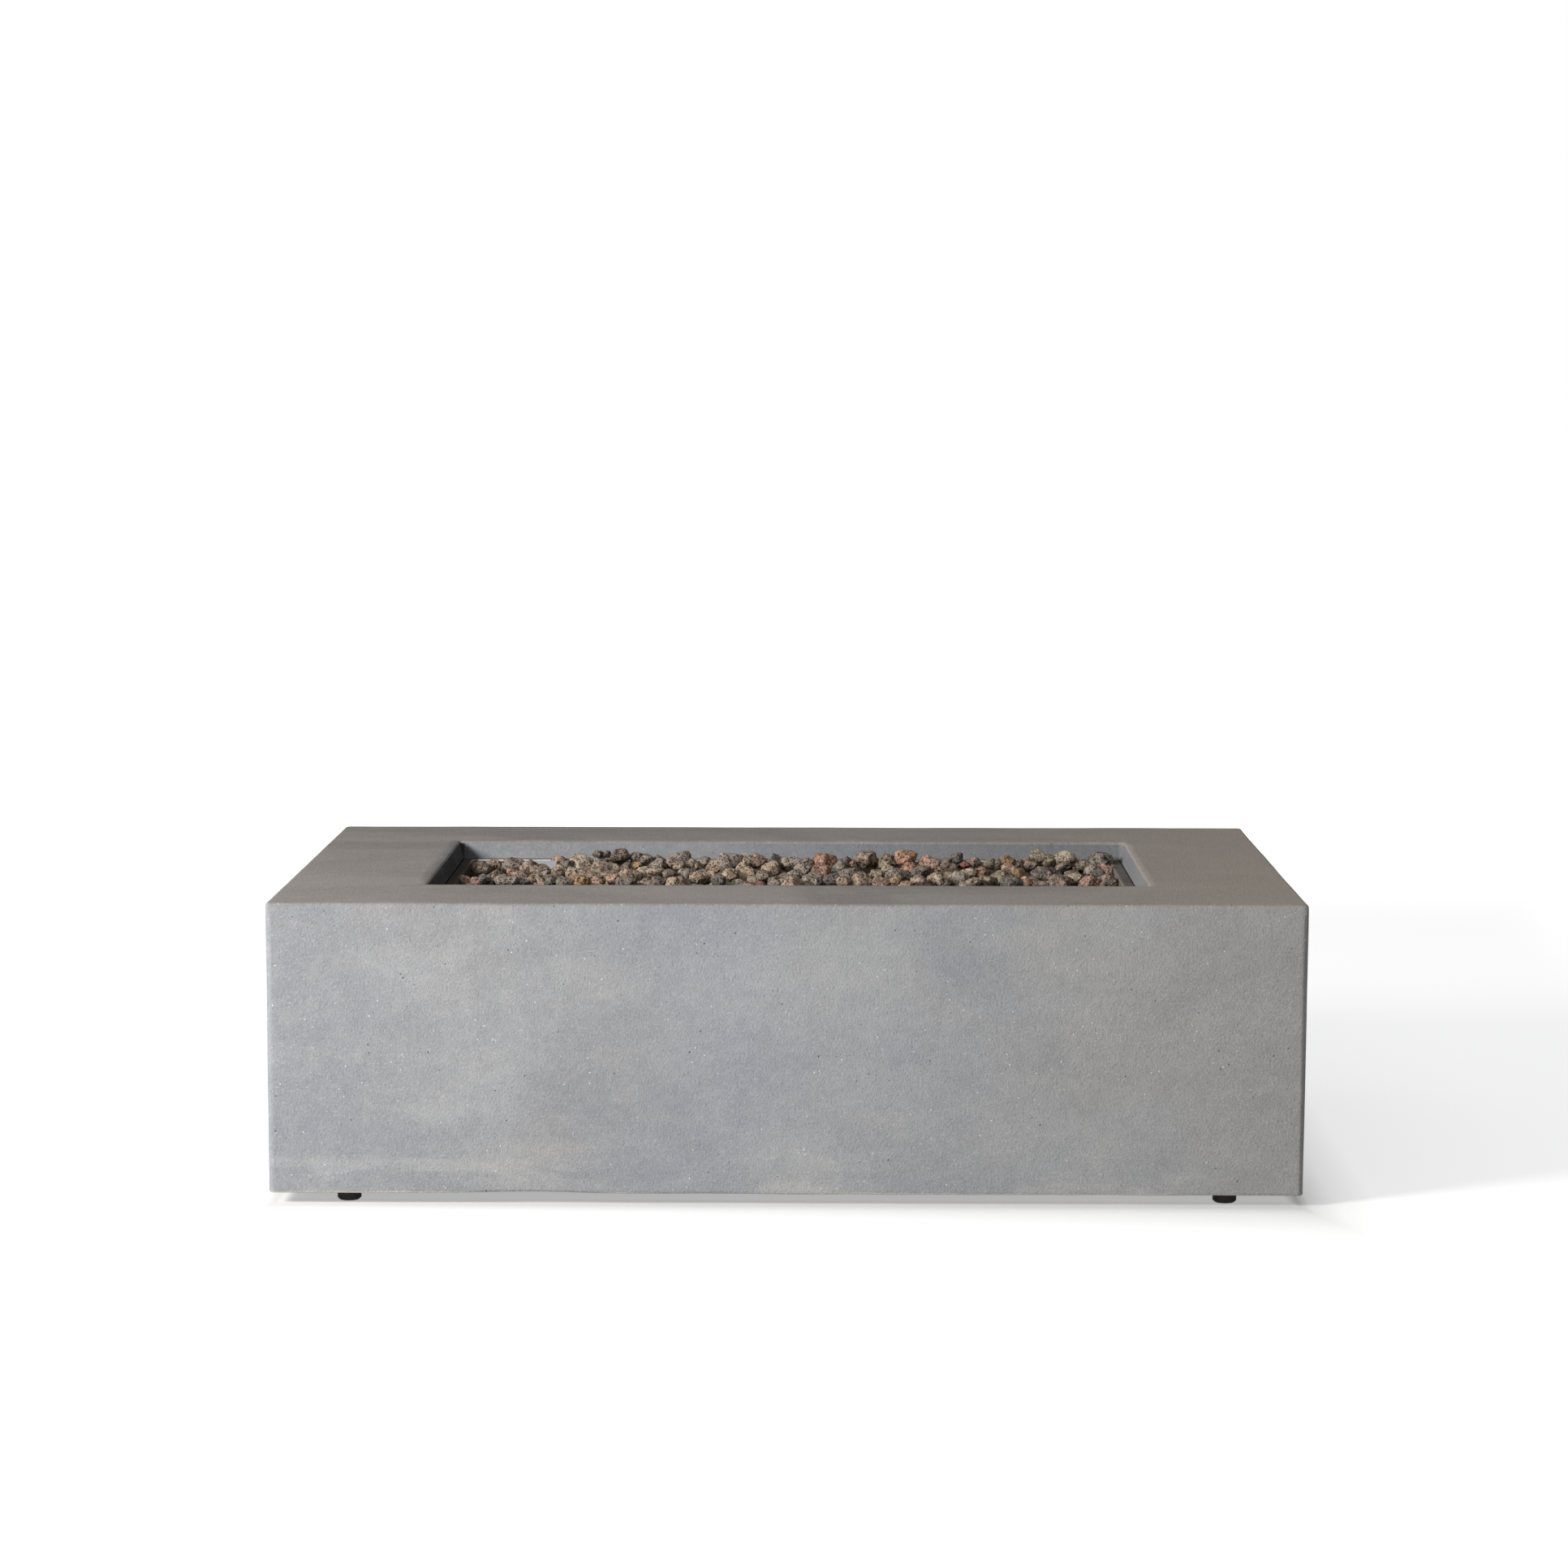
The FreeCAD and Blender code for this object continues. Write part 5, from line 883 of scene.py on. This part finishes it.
def stone_piece(name, parts, slot, node):
    points, faces, tones, base = [], [], [], 0
    for p, f, c in parts:
        points.append(p)
        faces.append(f + base)
        tones.append(c)
        base += len(p)
    mesh = smooth_mesh(name, np.concatenate(points).tolist(), np.concatenate(faces).tolist())
    layer = mesh.attributes.new("tone", "FLOAT_COLOR", "POINT")
    layer.data.foreach_set("color", np.concatenate(tones).ravel())
    return shown(name, mesh, lava("lava_" + name.split("_")[1]), "root", slot, node)


def all_stones():
    seen = seen_stones()
    others = with_chips(with_rows(seen))[len(seen):]
    for group, (kind, members) in enumerate(GROUPS.items()):
        parts = []
        for n, stones in ((9, seen), (5, others)):
            chosen = [s for s in stones if s[6] in members]
            boxes = np.array([s[:6] for s in chosen])
            parts.append(porous(boxes, [s[6] for s in chosen], n, 500 + group * 10 + n))
        slot = "lava_dark" if kind == "charcoal" else "lava_" + kind
        stone_piece("stones_" + kind, parts, slot, "lava_rocks_" + kind)
    boxes = []
    for corners in solids_of("lava_rocks_base"):
        low, high = corners.min(0), corners.max(0)
        boxes.append((*((low + high) / 2), *(high - low)))
    tones = [("charcoal", "grey", "brown")[i % 3] for i in range(len(boxes))]
    stone_piece("stones_base", [porous(np.array(boxes), tones, 5, 900)], "lava_dark", "lava_rocks_base")


# Pan
def pressed_pan():
    """The CAD pan with its inner lip pressed to a round, as bent sheet has it."""
    bm = joined("burner_pan")
    lip = []
    for e in bm.edges:
        a, b = (v.co for v in e.verts)
        middle = (a + b) / 2
        sharp = len(e.link_faces) == 2 and e.calc_face_angle(0) > 1.0
        if sharp and min(a.z, b.z) > 0.3565 and abs(middle.x) < 0.4440 and abs(middle.y) < 0.2095:
            lip.append(e)
    bmesh.ops.bevel(bm, geom=lip, offset=0.0026, segments=4, profile=0.5, affect="EDGES")
    mesh = bpy.data.meshes.new("pan_pressed")
    bm.to_mesh(mesh)
    bm.free()
    for f in mesh.polygons:
        f.use_smooth = 0.03 < abs(f.normal.z) < 0.985
    mesh.set_sharp_from_angle(angle=math.radians(32))
    return shown("pan_pressed", mesh, pan_metal(), "root", "pan_metal", "burner_pan")


# Hose, wire and capillary, along the CAD cords' own points
HOSE = (
    (-0.5335, -0.038, 0.190),
    (-0.4428, -0.038, 0.190),
    (-0.3094, -0.038, 0.1185),
    (-0.1814, -0.0304, 0.080),
    (-0.0747, -0.0114, 0.080),
    (0.0, 0.0, 0.1283),
    (0.0, 0.0, 0.1965),
)
WIRE = (
    (-0.5495, 0.038, 0.190),
    (-0.5035, 0.038, 0.190),
    (-0.4145, 0.102, 0.194),
    (-0.3545, 0.152, 0.247),
    (-0.3545, 0.152, 0.287),
)
LEAD = (
    (-0.5775, -0.038, 0.218),
    (-0.5775, -0.038, 0.262),
    (-0.4775, 0.028, 0.252),
    (-0.3725, 0.130, 0.231),
    (-0.3385, 0.152, 0.251),
    (-0.3385, 0.152, 0.285),
)


def centreline(route):
    """Evenly spaced points of the route's own smooth curve."""
    curve = bpy.data.curves.new("route", "CURVE")
    curve.dimensions = "3D"
    curve.resolution_u = 24
    spline = curve.splines.new("NURBS")
    spline.points.add(len(route) - 1)
    for point, at in zip(spline.points, route):
        point.co = (*at, 1.0)
    spline.order_u = 3
    spline.use_endpoint_u = True
    o = bpy.data.objects.new("route", curve)
    scene.collection.objects.link(o)
    mesh = bpy.data.meshes.new_from_object(o.evaluated_get(bpy.context.evaluated_depsgraph_get()))
    line = np.array([v.co for v in mesh.vertices])
    bpy.data.objects.remove(o)
    bpy.data.curves.remove(curve)
    bpy.data.meshes.remove(mesh)
    return line


def swept(name, route, radius, spacing, around):
    """A round piece along a route, whose radius is a function of the distance from its start."""
    line = centreline(route)
    run = np.concatenate([[0], np.cumsum(np.linalg.norm(np.diff(line, axis=0), axis=1))])
    s = np.linspace(0, run[-1], int(run[-1] / spacing) + 1)
    centre = np.stack([np.interp(s, run, line[:, i]) for i in range(3)], 1)
    forward = np.gradient(centre, axis=0)
    forward /= np.linalg.norm(forward, axis=1)[:, None]
    side = np.cross(forward[0], (0.3, 0.5, 0.8))
    angle = np.linspace(0, 2 * math.pi, around, endpoint=False)
    rings = []
    for c, f, at in zip(centre, forward, s):
        side = side - f * side.dot(f)
        side /= np.linalg.norm(side)
        r = radius(at, run[-1])
        rings.append(c + r * (np.cos(angle)[:, None] * side + np.sin(angle)[:, None] * np.cross(f, side)))
    faces = []
    for start in range(0, (len(rings) - 1) * around, around):
        for j in range(around):
            a, b = start + j, start + (j + 1) % around
            faces.append((a, b, b + around, a + around))
    last = (len(rings) - 1) * around
    faces += [tuple(range(around))[::-1], tuple(range(last, last + around))]
    return smooth_mesh(name, np.concatenate(rings).tolist(), faces)


def corrugated(s, whole):
    """Rings 5 mm apart, with a plain cuff at each end."""
    end = min(s, whole - s)
    return 0.0062 if end < 0.012 else 0.0060 + 0.0005 * math.cos(2 * math.pi * s / 0.005)


def sleeved(s, whole):
    """Silicone wire with a pushed-on, ribbed boot at each end."""
    end = min(s, whole - s)
    rib = 0.0003 if end % 0.005 < 0.0018 and end < 0.016 else 0.0
    return 0.0034 - 0.0009 * float(ease(np.float64(end), 0.016, 0.021)) + rib


def capillary(s, whole):
    """Copper tube with a crimped ferrule at each end."""
    end = min(s, whole - s)
    return 0.0015 + 0.0007 * float(ease(np.float64(end), 0.011, 0.009))


# Floor, background and lamp
def wired(tree, kind, inputs=(), **settings):
    """A new node whose first inputs are linked to sockets or set to values."""
    n = tree.nodes.new(kind)
    for key, value in settings.items():
        setattr(n, key, value)
    for socket, value in zip(n.inputs, inputs):
        if isinstance(value, bpy.types.NodeSocket):
            tree.links.new(value, socket)
        else:
            socket.default_value = value
    return n


def sum_of(tree, operation, *inputs):
    return wired(tree, "ShaderNodeMath", inputs, operation=operation).outputs[0]


def seen_directly(tree):
    """1 for what the camera, a reflection or glass shows, 0 for what lights the object."""
    path = wired(tree, "ShaderNodeLightPath").outputs
    first = sum_of(tree, "MAXIMUM", path["Is Camera Ray"], path["Is Glossy Ray"])
    return sum_of(tree, "MAXIMUM", first, path["Is Transmission Ray"])


def floor():
    """Pale paper, with a glow that lights nothing, least under and beside the object, where the glow's dip is
    a painted contact shadow over the lamp's own shadow.
    """
    mesh = bpy.data.meshes.new("floor")
    mesh.from_pydata([(-60, -60, 0), (60, -60, 0), (60, 60, 0), (-60, 60, 0)], [], [(0, 1, 2, 3)])
    o = bpy.data.objects.new("floor", mesh)
    scene.collection.objects.link(o)
    m = bpy.data.materials.new("floor")
    m.use_nodes = True
    tree = m.node_tree
    tree.nodes.clear()
    place = wired(tree, "ShaderNodeTexCoord").outputs["Object"]
    across = wired(tree, "ShaderNodeSeparateXYZ", (place,)).outputs
    beyond = []
    for axis, half, times in ((0, 0.626, 2.6), (1, 0.365, 1.0)):
        distance = sum_of(tree, "ABSOLUTE", across[axis])
        beyond.append(sum_of(tree, "MULTIPLY_ADD", distance, times, -half * times))
    far = sum_of(tree, "MAXIMUM", *beyond)
    level_of = wired(tree, "ShaderNodeValToRGB", (far,))
    elements = level_of.color_ramp.elements
    # Painted shadow: the glow's levels dip in a band round the block's footprint.
    stops = (
        (0.0, 0.435), (0.018, 0.36), (0.040, 0.215), (0.058, 0.30), (0.078, 0.405),
        (0.105, 0.46), (0.165, 0.57), (0.300, 0.69), (1.0, 0.71),
    )
    elements[0].position, elements[1].position = 0.0, 1.0
    for at, v in stops:
        e = elements[0] if at == 0.0 else elements[-1] if at == 1.0 else elements.new(at)
        e.color = (v, v, v, 1)
    out_there = wired(tree, "ShaderNodeMapRange", (far, 1.6, 3.4, 0.0, 0.34), interpolation_type="SMOOTHSTEP")
    total = sum_of(tree, "ADD", level_of.outputs[0], out_there.outputs[0])
    amount = sum_of(tree, "MULTIPLY", total, seen_directly(tree))
    glow = wired(tree, "ShaderNodeEmission", ((1, 1, 1, 1), amount))
    matt = wired(tree, "ShaderNodeBsdfDiffuse", ((0.68, 0.68, 0.68, 1),))
    both = wired(tree, "ShaderNodeAddShader", (matt.outputs[0], glow.outputs[0]))
    wired(tree, "ShaderNodeOutputMaterial", (both.outputs[0],))
    mesh.materials.append(m)


def background():
    """Plain white where it is seen, and a soft light from the upper left front where it isn't."""
    world = bpy.data.worlds.new("studio")
    scene.world = world
    world.use_nodes = True
    tree = world.node_tree
    tree.nodes.clear()
    way = wired(tree, "ShaderNodeTexCoord").outputs["Generated"]
    bright_side = Vector((-0.66, -0.70, 0.28)).normalized()
    facing = wired(tree, "ShaderNodeVectorMath", (way, bright_side), operation="DOT_PRODUCT").outputs["Value"]
    amount = wired(
        tree, "ShaderNodeMapRange", (facing, -0.30, 1.0, 0.115, 0.50), interpolation_type="SMOOTHSTEP"
    ).outputs[0]
    soft = wired(tree, "ShaderNodeBackground", ((0.985, 0.993, 1.0, 1), amount))
    plain = wired(tree, "ShaderNodeBackground", ((1, 1, 1, 1), 1.0))
    choose = wired(tree, "ShaderNodeMixShader", (seen_directly(tree), soft.outputs[0], plain.outputs[0]))
    wired(tree, "ShaderNodeOutputWorld", (choose.outputs[0],))


def key_lamp():
    lamp = bpy.data.lights.new("key", "AREA")
    lamp.shape = "DISK"
    lamp.size = 0.85
    lamp.energy = 113.0
    lamp.color = (1.0, 0.985, 0.965)
    o = bpy.data.objects.new("key", lamp)
    scene.collection.objects.link(o)
    o.location = (-2.45, -2.05, 1.50)
    o.rotation_mode = "QUATERNION"
    o.rotation_quaternion = (Vector((0.0, 0.0, 0.25)) - o.location).to_track_quat("-Z", "Y")


# The object
cast_body()
all_stones()

stainless_x = brushed("stainless_x", (0.60, 0.60, 0.59), 0, 0.30)
stainless_y = brushed("stainless_y", (0.60, 0.60, 0.59), 1, 0.30)
hot_steel = brushed("hot_steel", (0.52, 0.50, 0.47), 0, 0.36, tint=(0.42, 0.33, 0.22), grime=0.45)
hood_steel = brushed("hood_steel", (0.35, 0.362, 0.38), 2, 0.34, grime=0.35)
zinc = plated("zinc_plate", (0.56, 0.57, 0.57), (0.44, 0.45, 0.46))
die_cast = plated("die_cast", (0.50, 0.50, 0.50), (0.38, 0.38, 0.39), 0.5, 420.0)
brass = turned("brass", (0.62, 0.44, 0.17), (0.36, 0.25, 0.11))
copper = turned("copper", (0.60, 0.30, 0.17), (0.26, 0.14, 0.09))
plastic = moulded("black_plastic", (0.022, 0.022, 0.024), (0.10, 0.10, 0.10), 0.42)
knob_plastic = moulded("knob_plastic", (0.022, 0.022, 0.024), (0.10, 0.10, 0.10), 0.42, mark=pointer)
rubber = moulded("black_rubber", (0.014, 0.014, 0.015), (0.085, 0.083, 0.080), 0.62, 900.0, 0.3)
button = moulded("red_button", (0.33, 0.022, 0.018), (0.42, 0.09, 0.07), 0.28)
sleeve = moulded("battery_wrap", (0.085, 0.092, 0.105), (0.18, 0.19, 0.20), 0.3)
silicone = moulded("silicone_sleeve", (0.50, 0.48, 0.43), (0.36, 0.34, 0.30), 0.55, 700.0)
ceramic = unglazed()

hose = swept("hose_corrugated", HOSE, corrugated, 0.00125, 18)
shown("hose_corrugated", hose, stainless_x, "root", "stainless", "flex_gas_line")
wire = swept("wire_sleeved", WIRE, sleeved, 0.0012, 14)
shown("wire_sleeved", wire, silicone, "root", "silicone", "electrode_wire")
lead = swept("lead_copper", LEAD, capillary, 0.0025, 12)
shown("lead_copper", lead, copper, "root", "copper", "thermocouple_lead")

pressed_pan()

LOOKS = {
    "h_burner": hot_steel,
    "burner_saddles": hot_steel,
    "burner_nipple": zinc,
    "pan_locknuts": zinc,
    "air_mixer": brass,
    "gas_orifice": brass,
    "gas_inlet_fitting": brass,
    "flare_nuts": brass,
    "gas_valve": die_cast,
    "valve_nut": zinc,
    "valve_push_rod": brass,
    "valve_stem": zinc,
    "control_knob": knob_plastic,
    "control_panel": stainless_y,
    "panel_screws": stainless_x,
    "panel_inserts": brass,
    "igniter_body": plastic,
    "igniter_locknut": plastic,
    "igniter_battery": sleeve,
    "igniter_button": button,
    "igniter_bracket": hot_steel,
    "bracket_screws": stainless_x,
    "electrode_insulator": ceramic,
    "electrode_tip": hot_steel,
    "thermocouple_probe": hot_steel,
    "ignition_hood": hood_steel,
    "foot_inserts": zinc,
}
for corner in ("front_left", "front_right", "rear_left", "rear_right"):
    LOOKS["foot_stud_" + corner] = zinc
    LOOKS["foot_pad_" + corner] = rubber
for name, material in LOOKS.items():
    o = nodes[name]
    if not o.material_slots:
        o.data.materials.append(material)
    for held in o.material_slots:
        held.material = material

floor()
background()
key_lamp()
